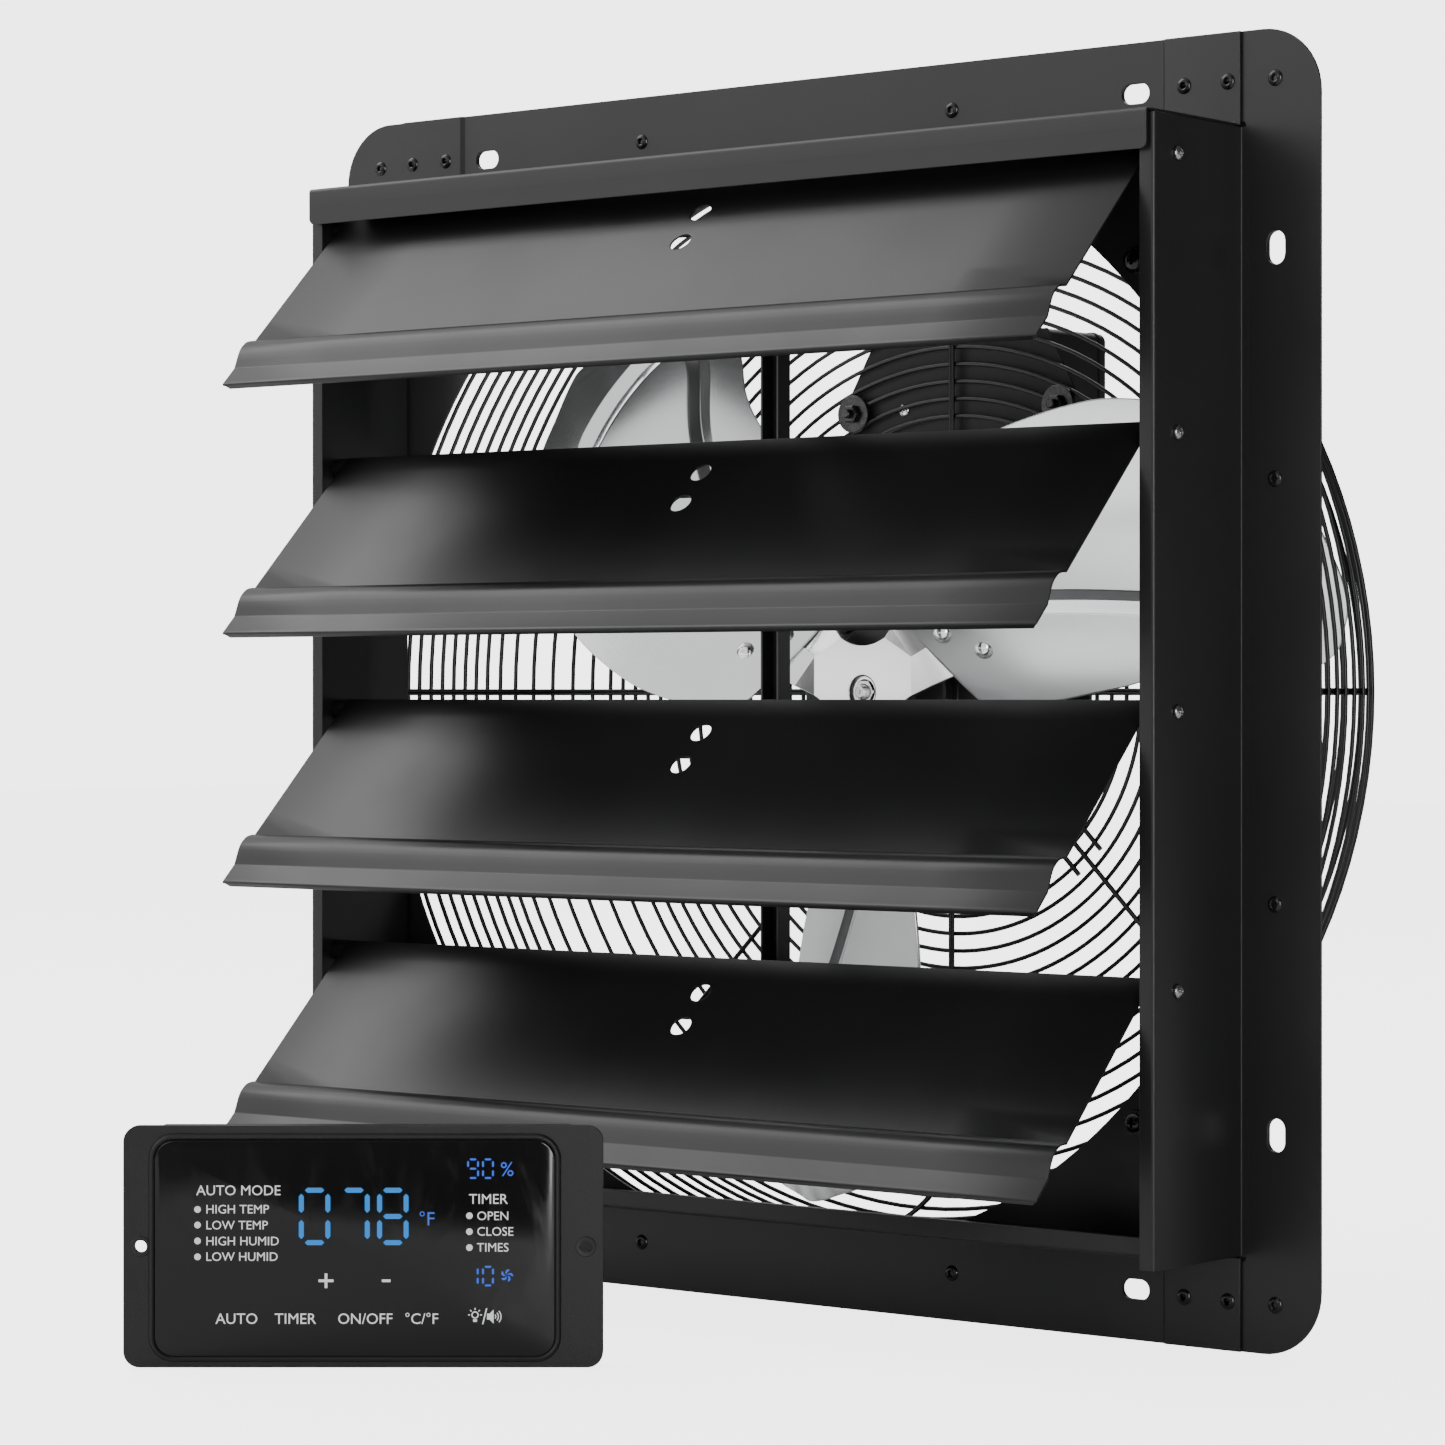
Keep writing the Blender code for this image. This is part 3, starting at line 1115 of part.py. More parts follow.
def guard():
    """Wire guard: rings, spokes and four fixing tabs welded into one piece."""
    work = bmesh.new()
    rings = guard_rings()
    last = len(rings) - 1
    for index, (radius, depth) in enumerate(rings):
        run = Vector(rings[min(index + 1, last)]) - Vector(rings[max(index - 1, 0)])
        out = math.atan2(run.x, -run.y)
        corners = [work.verts.new((radius + x, 0, depth + y))
                   for x, y in arc_points((0, 0), RING_WIRE * 1.15, out, out - math.tau * 2 / 3, 3)]
        for pair in zip(corners, corners[1:] + corners[:1]):
            work.edges.new(pair)
    mesh = bpy.data.meshes.new("guard")
    work.to_mesh(mesh)
    work.free()
    basket = add_part("guard", mesh, black_wire())
    basket.rotation_euler = (-math.pi / 2, 0, 0)
    screw = basket.modifiers.new("rings", "SCREW")
    screw.steps = RING_SIDES
    screw.render_steps = RING_SIDES
    screw.use_merge_vertices = True
    screw.merge_threshold = MERGE
    work = bmesh.new()
    for index in range(8):
        angle = index * math.pi / 4
        offsets = (0,) if index % 2 else (-PAIR_SPACING / 2, PAIR_SPACING / 2)
        for offset in offsets:
            work.from_mesh(guard_spoke("spoke", angle, offset))
    bmesh.ops.remove_doubles(work, verts=work.verts, dist=MERGE)
    combine(basket, add_cutter("guard_spokes", finish_mesh(work, "guard_spokes")), "UNION")
    work = bmesh.new()
    reach = GUARD_BOLT_OFFSET * math.sqrt(2)
    for index in range(4):
        angle = math.pi / 4 + index * math.pi / 2
        low = (GUARD_BASE_RADIUS - GUARD_TAB_REACH, BACK_PANEL_BACK + GAP + MERGE * 10, -GUARD_TAB_HALF_WIDTH)
        high = (reach + GUARD_TAB_REACH, low[1] + GUARD_TAB_THICKNESS, GUARD_TAB_HALF_WIDTH)
        tab = bmesh.new()
        add_box(tab, low, high)
        bmesh.ops.transform(tab, matrix=Matrix.Rotation(-angle, 4, "Y"), verts=tab.verts)
        mesh = finish_mesh(tab, "tab")
        work.from_mesh(mesh)
    combine(basket, add_cutter("guard_tabs", finish_mesh(work, "guard_tabs")), "UNION")
    work = bmesh.new()
    for sx in (-1, 1):
        for sz in (-1, 1):
            x, z = sx * GUARD_BOLT_OFFSET, sz * GUARD_BOLT_OFFSET
            radius = GUARD_BOLT_RADIUS + HOLE_CLEARANCE
            add_rod(work, (x, 0, z), (x, BACK_PANEL_BACK + OVERRUN * 3, z), radius, SMALL_SIDES)
    combine(basket, add_cutter("guard_tab_holes", finish_mesh(work, "guard_tab_holes")), "DIFFERENCE")
    return basket


def guard_bolts():
    """Four bolts that hold the guard to the back panel, heads to the front."""
    head_back = BACK_PANEL_FRONT - GAP
    head_front = head_back - GUARD_BOLT_HEAD_HEIGHT
    nut_front = BACK_PANEL_BACK + GAP + MERGE * 10 + GUARD_TAB_THICKNESS + GAP
    nut_back = nut_front + GUARD_NUT_HEIGHT
    profile = [
        (0, nut_back),
        (GUARD_NUT_RADIUS, nut_back),
        (GUARD_NUT_RADIUS, nut_front),
        (GUARD_BOLT_RADIUS, nut_front),
        (GUARD_BOLT_RADIUS, head_back),
        (GUARD_BOLT_HEAD_RADIUS, head_back),
        (GUARD_BOLT_HEAD_RADIUS * 0.85, head_front + GUARD_BOLT_HEAD_HEIGHT * 0.3),
        (0, head_front),
    ]
    number = 1
    for sx in (-1, 1):
        for sz in (-1, 1):
            place = (sx * GUARD_BOLT_OFFSET, 0, sz * GUARD_BOLT_OFFSET)
            turned(f"guard_bolt_{number}", profile, SMALL_SIDES, "Y", place, zinc_steel())
            number += 1


def junction_box():
    """Box for the motor's wiring, clamped to the back of the guard."""
    plate_front = GUARD_FLAT + RING_WIRE + SPOKE_WIRE * 2 - WELD_DEPTH + GAP
    plate_back = plate_front + SHEET
    outline = [(-CLAMP_PLATE_BOTTOM_HALF, CLAMP_PLATE_BOTTOM), (CLAMP_PLATE_BOTTOM_HALF, CLAMP_PLATE_BOTTOM),
               (CLAMP_PLATE_BOTTOM_HALF, CLAMP_BOLT_HEIGHT + CLAMP_WASHER_RADIUS),
               (CLAMP_PLATE_TOP_HALF, CLAMP_PLATE_TOP), (-CLAMP_PLATE_TOP_HALF, CLAMP_PLATE_TOP),
               (-CLAMP_PLATE_BOTTOM_HALF, CLAMP_BOLT_HEIGHT + CLAMP_WASHER_RADIUS)]
    loops = [outline]
    for side in (-1, 1):
        centre = (side * CLAMP_BOLT_OFFSET, CLAMP_BOLT_HEIGHT)
        loops.append(circle_outline(centre, CLAMP_BOLT_RADIUS + HOLE_CLEARANCE, SMALL_SIDES))
    plate = flat_plate("clamp_plate", loops, SHEET, facing_front((plate_front + plate_back) / 2))
    add_part("clamp_plate", plate, black_sheet())

    work = bmesh.new()
    front = plate_back + GAP
    low = (-JUNCTION_HALF_WIDTH, front, JUNCTION_BOTTOM)
    high = (JUNCTION_HALF_WIDTH, front + JUNCTION_DEPTH, JUNCTION_TOP)
    add_box(work, low, high)
    box = add_part("junction_box", finish_mesh(work, "junction_box"), black_plastic())
    bevel = box.modifiers.new("edges", "BEVEL")
    bevel.width = JUNCTION_EDGE
    bevel.segments = 2
    bevel.limit_method = "ANGLE"

    washer_back = GUARD_FLAT - RING_WIRE - GAP
    washer_front = washer_back - CLAMP_WASHER_THICKNESS
    head_front = washer_front - CLAMP_HEAD_HEIGHT
    nut_front = plate_back + GAP
    nut_back = nut_front + CLAMP_HEAD_HEIGHT
    profile = [
        (0, nut_back),
        (CLAMP_HEAD_RADIUS, nut_back),
        (CLAMP_HEAD_RADIUS, nut_front),
        (CLAMP_BOLT_RADIUS, nut_front),
        (CLAMP_BOLT_RADIUS, washer_back),
        (CLAMP_WASHER_RADIUS, washer_back),
        (CLAMP_WASHER_RADIUS, washer_front),
        (CLAMP_HEAD_RADIUS, washer_front),
        (CLAMP_HEAD_RADIUS, head_front),
        (0, head_front),
    ]
    for name, side in (("clamp_bolt_left", -1), ("clamp_bolt_right", 1)):
        place = (side * CLAMP_BOLT_OFFSET, 0, CLAMP_BOLT_HEIGHT)
        turned(name, profile, SMALL_SIDES, "Y", place, zinc_steel())


def controller():
    """Separate controller: eared housing, glass panel and back cover, standing on its lower edge."""
    height = -FLANGE_HALF + CONTROLLER_HEIGHT / 2
    carrier = empty_at("controller_place", (CONTROLLER_X, CONTROLLER_Y, height), (0, 0, CONTROLLER_TURN))
    half_width, half_height = CONTROLLER_WIDTH / 2, CONTROLLER_HEIGHT / 2
    body_half = CONTROLLER_BODY_WIDTH / 2
    outline = rounded_outline(half_width, half_height, CONTROLLER_CORNER)
    holes = [circle_outline((side * CONTROLLER_HOLE_OFFSET, 0), CONTROLLER_HOLE_RADIUS, SMALL_SIDES)
             for side in (-1, 1)]
    ears = flat_plate("controller_housing", [outline] + holes, CONTROLLER_EAR_THICKNESS,
                      facing_front(CONTROLLER_EAR_THICKNESS / 2))
    housing = add_part("controller_housing", ears, black_plastic())
    housing.parent = carrier
    work = bmesh.new()
    add_box(work, (-body_half, CONTROLLER_EAR_THICKNESS / 2, -half_height + CONTROLLER_WALL / 2),
            (body_half, CONTROLLER_DEPTH, half_height - CONTROLLER_WALL / 2))
    tool = add_cutter("controller_body", finish_mesh(work, "controller_body"))
    tool.parent = carrier
    combine(housing, tool, "UNION")
    work = bmesh.new()
    inside = body_half - CONTROLLER_WALL
    add_box(work, (-inside, CONTROLLER_EAR_THICKNESS, -half_height + CONTROLLER_WALL * 2),
            (inside, CONTROLLER_DEPTH + OVERRUN, half_height - CONTROLLER_WALL * 2))
    tool = add_cutter("controller_hollow", finish_mesh(work, "controller_hollow"))
    tool.parent = carrier
    combine(housing, tool, "DIFFERENCE")
    recess = CONTROLLER_PANEL_THICKNESS - CONTROLLER_PANEL_RISE
    pocket = rounded_outline(CONTROLLER_PANEL_WIDTH / 2 + GAP, CONTROLLER_PANEL_HEIGHT / 2 + GAP,
                             CONTROLLER_PANEL_CORNER)
    shift = Matrix.Translation((CONTROLLER_PANEL_SHIFT, 0, 0))
    mesh = flat_plate("controller_pocket", [pocket], (recess + GAP) * 2, shift @ facing_front(0))
    tool = add_cutter("controller_pocket", mesh)
    tool.parent = carrier
    combine(housing, tool, "DIFFERENCE")
    glass = rounded_outline(CONTROLLER_PANEL_WIDTH / 2, CONTROLLER_PANEL_HEIGHT / 2, CONTROLLER_PANEL_CORNER)
    place = shift @ facing_front(recess - CONTROLLER_PANEL_THICKNESS / 2)
    sheet = flat_plate("controller_panel", [glass], CONTROLLER_PANEL_THICKNESS, place)
    panel = add_part("controller_panel", sheet, black_glass())
    panel.parent = carrier
    work = bmesh.new()
    lid = CONTROLLER_DEPTH + GAP
    add_box(work, (-body_half, lid, -half_height + CONTROLLER_WALL / 2),
            (body_half, lid + CONTROLLER_WALL, half_height - CONTROLLER_WALL / 2))
    cover = add_part("controller_back_cover", finish_mesh(work, "controller_back_cover"), black_plastic())
    cover.parent = carrier


def build():
    """Make every part."""
    clear_scene()
    relief = relief_cutter()
    holes = pivot_hole_cutter()
    side_panel("left_panel", -1, holes)
    side_panel("right_panel", 1, holes)
    top_panel(relief)
    bottom_panel(relief)
    back_panel()
    for index, height in enumerate(PIVOT_HEIGHTS):
        carrier = empty_at(f"louver_{index + 1}_pivot", (0, PIVOT_Y, height), (OPEN_TILT, 0, 0))
        louver(index, carrier)
        link_arm(index, carrier)
        for word, side in (("left", -1), ("right", 1)):
            pivot_screw(f"pivot_screw_{word}_{index + 1}", side, height)
            pivot_bush(f"pivot_bush_{word}_{index + 1}", side, height)
        link_pin(index)
    link_bar()
    wheel = empty_at("wheel_axis", (0, 0, 0))
    hub(wheel)
    for index in range(BLADE_COUNT):
        blade(index, wheel)
    shaft_and_nut(wheel)
    motor(wheel)
    guard()
    guard_bolts()
    junction_box()
    controller()


build()
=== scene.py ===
"""Shutter exhaust fan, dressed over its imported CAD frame.

+Z up, origin on the wheel's axis in the plane of the flange's front face. The louvers face -Y and the
guard lies at +Y. Shapes are computed in millimetres, and piece() turns them into metres.
"""
import json
from math import acos, copysign, cos, hypot, pi, radians, sin, sqrt, tan, tau

import bmesh
import bpy
import numpy as np
from mathutils import Matrix, Vector


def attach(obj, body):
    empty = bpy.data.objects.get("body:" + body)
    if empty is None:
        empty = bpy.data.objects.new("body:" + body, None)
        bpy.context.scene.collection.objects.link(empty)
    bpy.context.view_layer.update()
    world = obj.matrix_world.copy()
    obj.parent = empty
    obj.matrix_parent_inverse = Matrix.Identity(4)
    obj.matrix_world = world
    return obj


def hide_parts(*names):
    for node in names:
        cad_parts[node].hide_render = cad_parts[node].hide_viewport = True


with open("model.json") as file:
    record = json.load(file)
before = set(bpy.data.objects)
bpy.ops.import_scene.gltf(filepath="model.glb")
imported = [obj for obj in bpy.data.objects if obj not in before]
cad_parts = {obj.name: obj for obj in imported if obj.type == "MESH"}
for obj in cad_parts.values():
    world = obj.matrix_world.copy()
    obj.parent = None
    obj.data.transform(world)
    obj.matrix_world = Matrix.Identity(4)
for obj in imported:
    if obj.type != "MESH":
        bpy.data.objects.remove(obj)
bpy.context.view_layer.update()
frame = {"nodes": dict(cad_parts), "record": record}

MM = 0.001
SHEET = 1.2
SIDES = (-1, 1)
CORNERS = [(sx, sz) for sx in SIDES for sz in SIDES]
FORWARD, BACKWARD = (0, -1, 0), (0, 1, 0)
OPEN_TILT = radians(45)
PIVOT_Y = -52
PIVOT_Z = [233.9 - 121.4 * index for index in range(4)]
WHEEL_RADIUS = 257.5
BLADE_SHEET, BLADE_CENTRE = 1.5, 56.45
BLADE_ANGLES = [radians(30 + 120 * index) for index in range(3)]


# Node materials


class Value:
    """A node's output socket that can be used in sums; each operator adds one Math node."""

    def __init__(self, graph, socket):
        self.graph = graph
        self.socket = socket

    def math(self, operation, *others, clamp=False):
        settings = {"operation": operation, "use_clamp": clamp}
        return self.graph.node("ShaderNodeMath", settings, inputs=dict(enumerate((self, *others))))

    def __add__(self, other):
        return self.math("ADD", other)

    def __mul__(self, other):
        return self.math("MULTIPLY", other)

    def __sub__(self, other):
        return self.math("SUBTRACT", other)

    def limited(self):
        return self.math("ADD", 0, clamp=True)

    def ramp(self, low, high, to_low=0.0, to_high=1.0):
        """Smooth step from one value to another."""
        inputs = {"Value": self, "From Min": low, "From Max": high, "To Min": to_low, "To Max": to_high}
        return self.graph.node("ShaderNodeMapRange", {"interpolation_type": "SMOOTHSTEP"}, inputs=inputs)


class Graph:
    """Node tree of a material or of the world."""

    def __init__(self, owner):
        owner.use_nodes = True
        self.tree = owner.node_tree

    def feed(self, socket, item):
        if isinstance(item, Value):
            self.tree.links.new(item.socket, socket)
        elif isinstance(item, (tuple, list)) and len(item) == 3 and len(socket.default_value) == 4:
            socket.default_value = (*item, 1)
        else:
            socket.default_value = item

    def node(self, kind, settings=None, output=0, inputs=None, **named):
        """Add a node, set it up, and feed its inputs, by number or name, with values or links."""
        node = self.tree.nodes.new(kind)
        for key, value in (settings or {}).items():
            setattr(node, key, value)
        for key, item in {**(inputs or {}), **named}.items():
            self.feed(node.inputs[key], item)
        return Value(self, node.outputs[output])


class Material(Graph):
    """A Principled material and the nodes that vary it over the surface."""

    def __init__(self, name, colour, roughness, metallic=0.0, **constants):
        self.material = bpy.data.materials.new(name)
        super().__init__(self.material)
        self.shader = self.tree.nodes["Principled BSDF"]
        constants = dict(Base_Color=colour, Roughness=roughness, Metallic=metallic, **constants)
        for key, value in constants.items():
            self.set(key.replace("_", " "), value)
        self.material.diffuse_color = (*colour, 1)

    def place(self, stretch=(1, 1, 1)):
        """Object coordinates, stretched."""
        position = self.node("ShaderNodeTexCoord", output="Object")
        return self.node("ShaderNodeMapping", Vector=position, Scale=stretch)

    def noise(self, scale, detail=3.0, roughness=0.55, distortion=0.0, stretch=(1, 1, 1)):
        return self.node("ShaderNodeTexNoise", output="Fac", Vector=self.place(stretch), Scale=scale,
                         Detail=detail, Roughness=roughness, Distortion=distortion)

    def cells(self, scale):
        return self.node("ShaderNodeTexVoronoi", output="Distance", Vector=self.place(), Scale=scale)

    def mix(self, share, first, second):
        """Blend of two colours."""
        return self.node("ShaderNodeMix", {"data_type": "RGBA"}, 2, {0: share, 6: first, 7: second})

    def set(self, key, item):
        self.feed(self.shader.inputs[key], item)

    def bump(self, height, distance, strength):
        self.set("Normal", self.node("ShaderNodeBump", Height=height, Distance=distance, Strength=strength))


def powder_coat(name, tone, roughness, peel=1.0, dust=0.5):
    """Black powder coat: orange peel, faint cloudiness, a little dust in random specks."""
    made = Material(name, (tone, tone, tone * 1.04), roughness, 0.0, Specular_IOR_Level=0.5)
    cloud = made.noise(7, 4, 0.6)
    grain = made.noise(900, 2, 0.5)
    specks = made.noise(260, 3, 0.7).ramp(0.62, 0.78)
    share = (cloud * 0.6 + specks * dust).limited()
    dark, light = ((tone * low, tone * low, tone * (low + 0.02)) for low in (0.8, 1.5))
    made.set("Base Color", made.mix(share, dark, light))
    made.set("Roughness", cloud.ramp(0.3, 0.7, roughness - 0.035, roughness + 0.035) + (grain - 0.5) * 0.05)
    made.bump(grain * 0.7 + made.noise(320, 2, 0.4) * 0.8, 0.06 * MM * peel, 0.35)
    return made.material


def spun_metal(name, tone, roughness, streaks, scale, marks):
    """Bright sheet with rolling marks along one direction and soft smears."""
    made = Material(name, tone, roughness, 1.0)
    line = made.noise(scale, 4, 0.65, 0.0, streaks)
    smear = made.noise(14, 4, 0.6, 0.4)
    share = (smear * 0.7 + line * 0.3 * marks).limited()
    dark, light = (tuple(min(1, t * factor) for t in tone) for factor in (0.9, 1.05))
    made.set("Base Color", made.mix(share, dark, light))
    sheen = smear.ramp(0.3, 0.75, roughness - 0.02, roughness + 0.04)
    made.set("Roughness", sheen + (line - 0.5) * 0.06 * marks)
    made.bump(line, 0.01 * MM, 0.12 * marks)
    return made.material


def plated_steel(name, tone, roughness):
    """Zinc plated fastener: mottled crystals and fine scratches."""
    made = Material(name, (tone, tone, tone * 1.02), roughness, 1.0)
    mottle = made.cells(900)
    scratch = made.noise(500, 3, 0.7, 1.5)
    made.set("Base Color", made.mix(mottle.ramp(0.1, 0.7), (tone * 0.82,) * 3, (tone * 1.12,) * 3))
    made.set("Roughness", scratch.ramp(0.35, 0.7, roughness - 0.05, roughness + 0.12))
    made.bump(scratch, 0.03 * MM, 0.3)
    return made.material


def moulded_plastic(name, tone, roughness, pits):
    """Moulded black plastic with a fine spark-eroded grain."""
    made = Material(name, (tone, tone, tone), roughness, 0.0, Specular_IOR_Level=0.42)
    pit = made.cells(pits)
    cloud = made.noise(30, 3, 0.6)
    share = (cloud * 0.5 + pit * 0.4).limited()
    made.set("Base Color", made.mix(share, (tone * 0.75,) * 3, (tone * 1.6,) * 3))
    made.set("Roughness", cloud.ramp(0.3, 0.7, roughness - 0.05, roughness + 0.05))
    made.bump(pit + made.noise(pits * 0.6, 2, 0.5) * 0.5, 0.05 * MM, 0.6)
    return made.material


def glossy_glass(name):
    """Smoked touch panel: clear coat over black with faint finger smears, and a painted sheen that makes its
    colour lighter toward the top.
    """
    made = Material(name, (0.0028, 0.0028, 0.0032), 0.09, 0.0, Specular_IOR_Level=0.5)
    smear = made.noise(55, 4, 0.6, 1.2, (1, 1, 0.4))
    height = made.node("ShaderNodeSeparateXYZ", output="Z", Vector=made.place())
    # Painted sheen: the base colour grows lighter toward the top of the panel.
    painted_top_sheen = height.ramp(-0.245, -0.19)
    made.set("Base Color", made.mix(painted_top_sheen, (0.0025, 0.0025, 0.003), (0.006, 0.0055, 0.006)))
    made.set("Roughness", smear.ramp(0.45, 0.7, 0.08, 0.17))
    return made.material


def lit_mark(name, colour, strength):
    """Back-lit marking under the panel, a little uneven."""
    made = Material(name, tuple(c * 0.05 for c in colour), 0.4, 0.0, Emission_Strength=strength)
    level = made.noise(180, 2, 0.5).ramp(0.3, 0.7, 0.88, 1.0)
    made.set("Emission Color", made.mix(level, tuple(c * 0.8 for c in colour), colour))
    return made.material


def copper(name):
    """Enamelled windings: close-laid turns."""
    made = Material(name, (0.55, 0.2, 0.07), 0.35, 0.9)
    turns = made.node("ShaderNodeTexWave", {"bands_direction": "Y"}, output="Fac", Vector=made.place(),
                      Scale=260, Distortion=0.6, Detail=1.0)
    made.set("Base Color", made.mix(turns, (0.3, 0.09, 0.03), (0.66, 0.27, 0.1)))
    made.bump(turns, 0.2 * MM, 0.6)
    return made.material


def floor_paint():
    """Pale studio floor."""
    made = Material("studio_floor", (0.86, 0.86, 0.86), 0.6, 0.0, Specular_IOR_Level=0.2)
    made.set("Roughness", made.noise(3, 2, 0.5).ramp(0.3, 0.7, 0.55, 0.65))
    seen = made.node("ShaderNodeLightPath", output="Is Camera Ray")
    made.set("Emission Color", made.mix(seen, (0, 0, 0), (1, 1, 1)))
    made.set("Emission Strength", 3.4)
    return made.material


# Each look: its material and its slot. The first look of a slot also dresses the CAD nodes that stay.
LOOKS = {
    "sheet": (powder_coat("coat_sheet", 0.012, 0.36), "black_sheet"),
    "louver": (powder_coat("coat_louver", 0.007, 0.33, 0.6, 0.3), "black_sheet"),
    "clamp": (powder_coat("coat_clamp", 0.006, 0.6, 2.0, 0.6), "black_sheet"),
    "black_rivet": (powder_coat("coat_rivet", 0.006, 0.2, 0.3, 0.2), "black_sheet"),
    "wire": (powder_coat("coat_wire", 0.004, 0.33, 0.5, 0.2), "black_wire"),
    "motor": (powder_coat("coat_motor", 0.008, 0.42, 1.6, 0.6), "motor_paint"),
    "blade": (spun_metal("blade_sheet", (0.80, 0.81, 0.82), 0.18, (0.25, 1, 1), 380, 0.6), "bright_blade"),
    "hub": (spun_metal("hub_pressing", (0.93, 0.93, 0.94), 0.22, (1, 1, 1), 250, 0.15), "cast_hub"),
    "steel": (plated_steel("fastener_zinc", 0.62, 0.27), "zinc_steel"),
    "rivet": (plated_steel("rivet_bright", 0.82, 0.14), "zinc_steel"),
    # fastener_black also dresses the hub's cup round the nut, where its darkness is painted shade.
    "dark_steel": (plated_steel("fastener_black", 0.06, 0.3), "zinc_steel"),
    "pivot_steel": (plated_steel("fastener_pivot", 0.42, 0.25), "zinc_steel"),
    "bush": (moulded_plastic("bush_nylon", 0.01, 0.4, 1600), "bush_plastic"),
    "box": (moulded_plastic("box_plastic", 0.012, 0.5, 900), "black_plastic"),
    "case": (moulded_plastic("controller_case", 0.0095, 0.42, 1500), "black_plastic"),
    "glass": (glossy_glass("touch_panel"), "black_glass"),
    "blue": (lit_mark("mark_blue", (0.0, 0.32, 1.0), 0.8), "black_glass"),
    "violet": (lit_mark("mark_small_blue", (0.03, 0.16, 1.0), 0.8), "black_glass"),
    "white": (lit_mark("mark_white", (0.95, 0.95, 0.95), 0.9), "black_glass"),
    "copper": (copper("windings"), "copper_winding"),
}


# Building blocks


class Shape:
    """Points and faces gathered from several closed surfaces."""

    def __init__(self):
        self.points = []
        self.faces = []
        self.count = 0

    def add(self, points, faces):
        points = np.asarray(points, dtype=float).reshape(-1, 3)
        self.points.append(points)
        self.faces += [[corner + self.count for corner in face] for face in faces]
        self.count += len(points)
        return self

    def grid(self, points, wrap=False, open_end=False):
        """Surface over rows of points: each row is a ring, and the rows wrap round or end in caps."""
        points = np.asarray(points, dtype=float)
        rows, columns = points.shape[:2]
        faces = []
        for u in range(rows if wrap else rows - 1):
            here, after = u * columns, (u + 1) % rows * columns
            for v in range(columns):
                side = (v + 1) % columns
                faces.append([here + v, after + v, after + side, here + side])
        if not wrap:
            faces.append(list(range(columns)))
            if not open_end:
                faces.append([(rows - 1) * columns + v for v in range(columns)][::-1])
        return self.add(points, faces)

    def move(self, matrix):
        """The same shape carried by a matrix."""
        turn = np.array(matrix.to_3x3())
        shift = np.array(matrix.to_translation())
        self.points = [block @ turn.T + shift for block in self.points]
        return self

    def join(self, other):
        if other.count:
            self.add(np.concatenate(other.points), other.faces)
        return self


def put(name, data):
    """New object of some data, linked to the scene."""
    made = bpy.data.objects.new(name, data)
    bpy.context.scene.collection.objects.link(made)
    return made


def piece(name, shape, look, body, replaced="", bevel=0.0, segments=2, angle=35, wall=0.0):
    """Make an object of a shape, with faces outward, and hang it on a body of the frame.

    It takes the place of the CAD node named in replaced, or else of the node of its own name if there is
    one."""
    mesh = bpy.data.meshes.new(name)
    mesh.from_pydata((np.concatenate(shape.points) * MM).tolist(), [], shape.faces)
    work = bmesh.new()
    work.from_mesh(mesh)
    bmesh.ops.recalc_face_normals(work, faces=work.faces)
    work.to_mesh(mesh)
    work.free()
    material, slot = LOOKS[look]
    mesh.materials.append(material)
    mesh.shade_smooth()
    mesh.set_sharp_from_angle(angle=radians(angle))
    made = put(name, mesh)
    if wall:
        solid = made.modifiers.new("wall", "SOLIDIFY")
        solid.thickness = wall * MM
        solid.offset = 0
        solid.use_even_offset = True
    if bevel:
        edge = made.modifiers.new("edge", "BEVEL")
        edge.width = bevel * MM
        edge.segments = segments
        edge.limit_method = "ANGLE"
        edge.angle_limit = radians(50)
    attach(made, body)
    node = replaced or name
    if node in frame["nodes"]:
        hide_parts(node)


def unit(vectors):
    return vectors / np.linalg.norm(vectors, axis=-1, keepdims=True)


def aside(vectors):
    """Unit vectors square to vectors of a plane."""
    return unit(np.stack((-vectors[..., 1], vectors[..., 0]), axis=-1))


def turns(count):
    """Angles that divide a full turn."""
    return np.linspace(0, tau, count, endpoint=False)


def arc(centre, radius, start, end, count):
    """Points along an arc, both ends included."""
    angles = np.linspace(start, end, count)
    return [(centre[0] + radius * cos(a), centre[1] + radius * sin(a)) for a in angles]


def rounded(half_width, half_height, corner, count=9):
    """Outline of a rectangle with round corners."""
    points = []
    for index, (sx, sy) in enumerate(((1, 1), (-1, 1), (-1, -1), (1, -1))):
        start = index * pi / 2
        centre = (sx * (half_width - corner), sy * (half_height - corner))
        points += arc(centre, corner, start, start + pi / 2, count)
    return points


def fillet(points, radius, count=6):
    """Open line with its inner corners rounded by curves that touch both legs."""
    points = [np.array(point, dtype=float) for point in points]
    line = [points[0]]
    for before, corner, after in zip(points, points[1:], points[2:]):
        legs = before - corner, after - corner
        first, second = map(unit, legs)
        half = acos(float(first @ second)) / 2
        reach = min(radius / tan(half), *(0.45 * np.linalg.norm(leg) for leg in legs))
        for share in np.linspace(0, 1, count):
            line.append(corner + first * reach * (1 - share) ** 2 + second * reach * share ** 2)
    return line + [points[-1]]


def folded(points, thickness, low, high, axis):
    """Solid bent sheet: the middle line is offset to both sides and carried along an axis."""
    line = np.array(points, dtype=float)
    sides = aside(np.diff(line, axis=0))
    normal = np.concatenate((sides[:1], sides[1:] + sides[:-1], sides[-1:]))
    normal[1:-1] /= np.maximum(0.3, np.sum(normal[1:-1] * sides[1:], axis=1))[:, None]
    section = np.concatenate((line + normal * thickness / 2, (line - normal * thickness / 2)[::-1]))
    rows = []
    for place in (low, high):
        rows.append([(place, *point) if axis == "X" else (*point, place) for point in section])
    return Shape().grid(rows)


def filled(curve):
    """Mesh of a filled curve."""
    carrier = put(curve.name, curve)
    bpy.context.view_layer.update()
    mesh = bpy.data.meshes.new_from_object(carrier.evaluated_get(bpy.context.evaluated_depsgraph_get()))
    bpy.data.objects.remove(carrier)
    return mesh


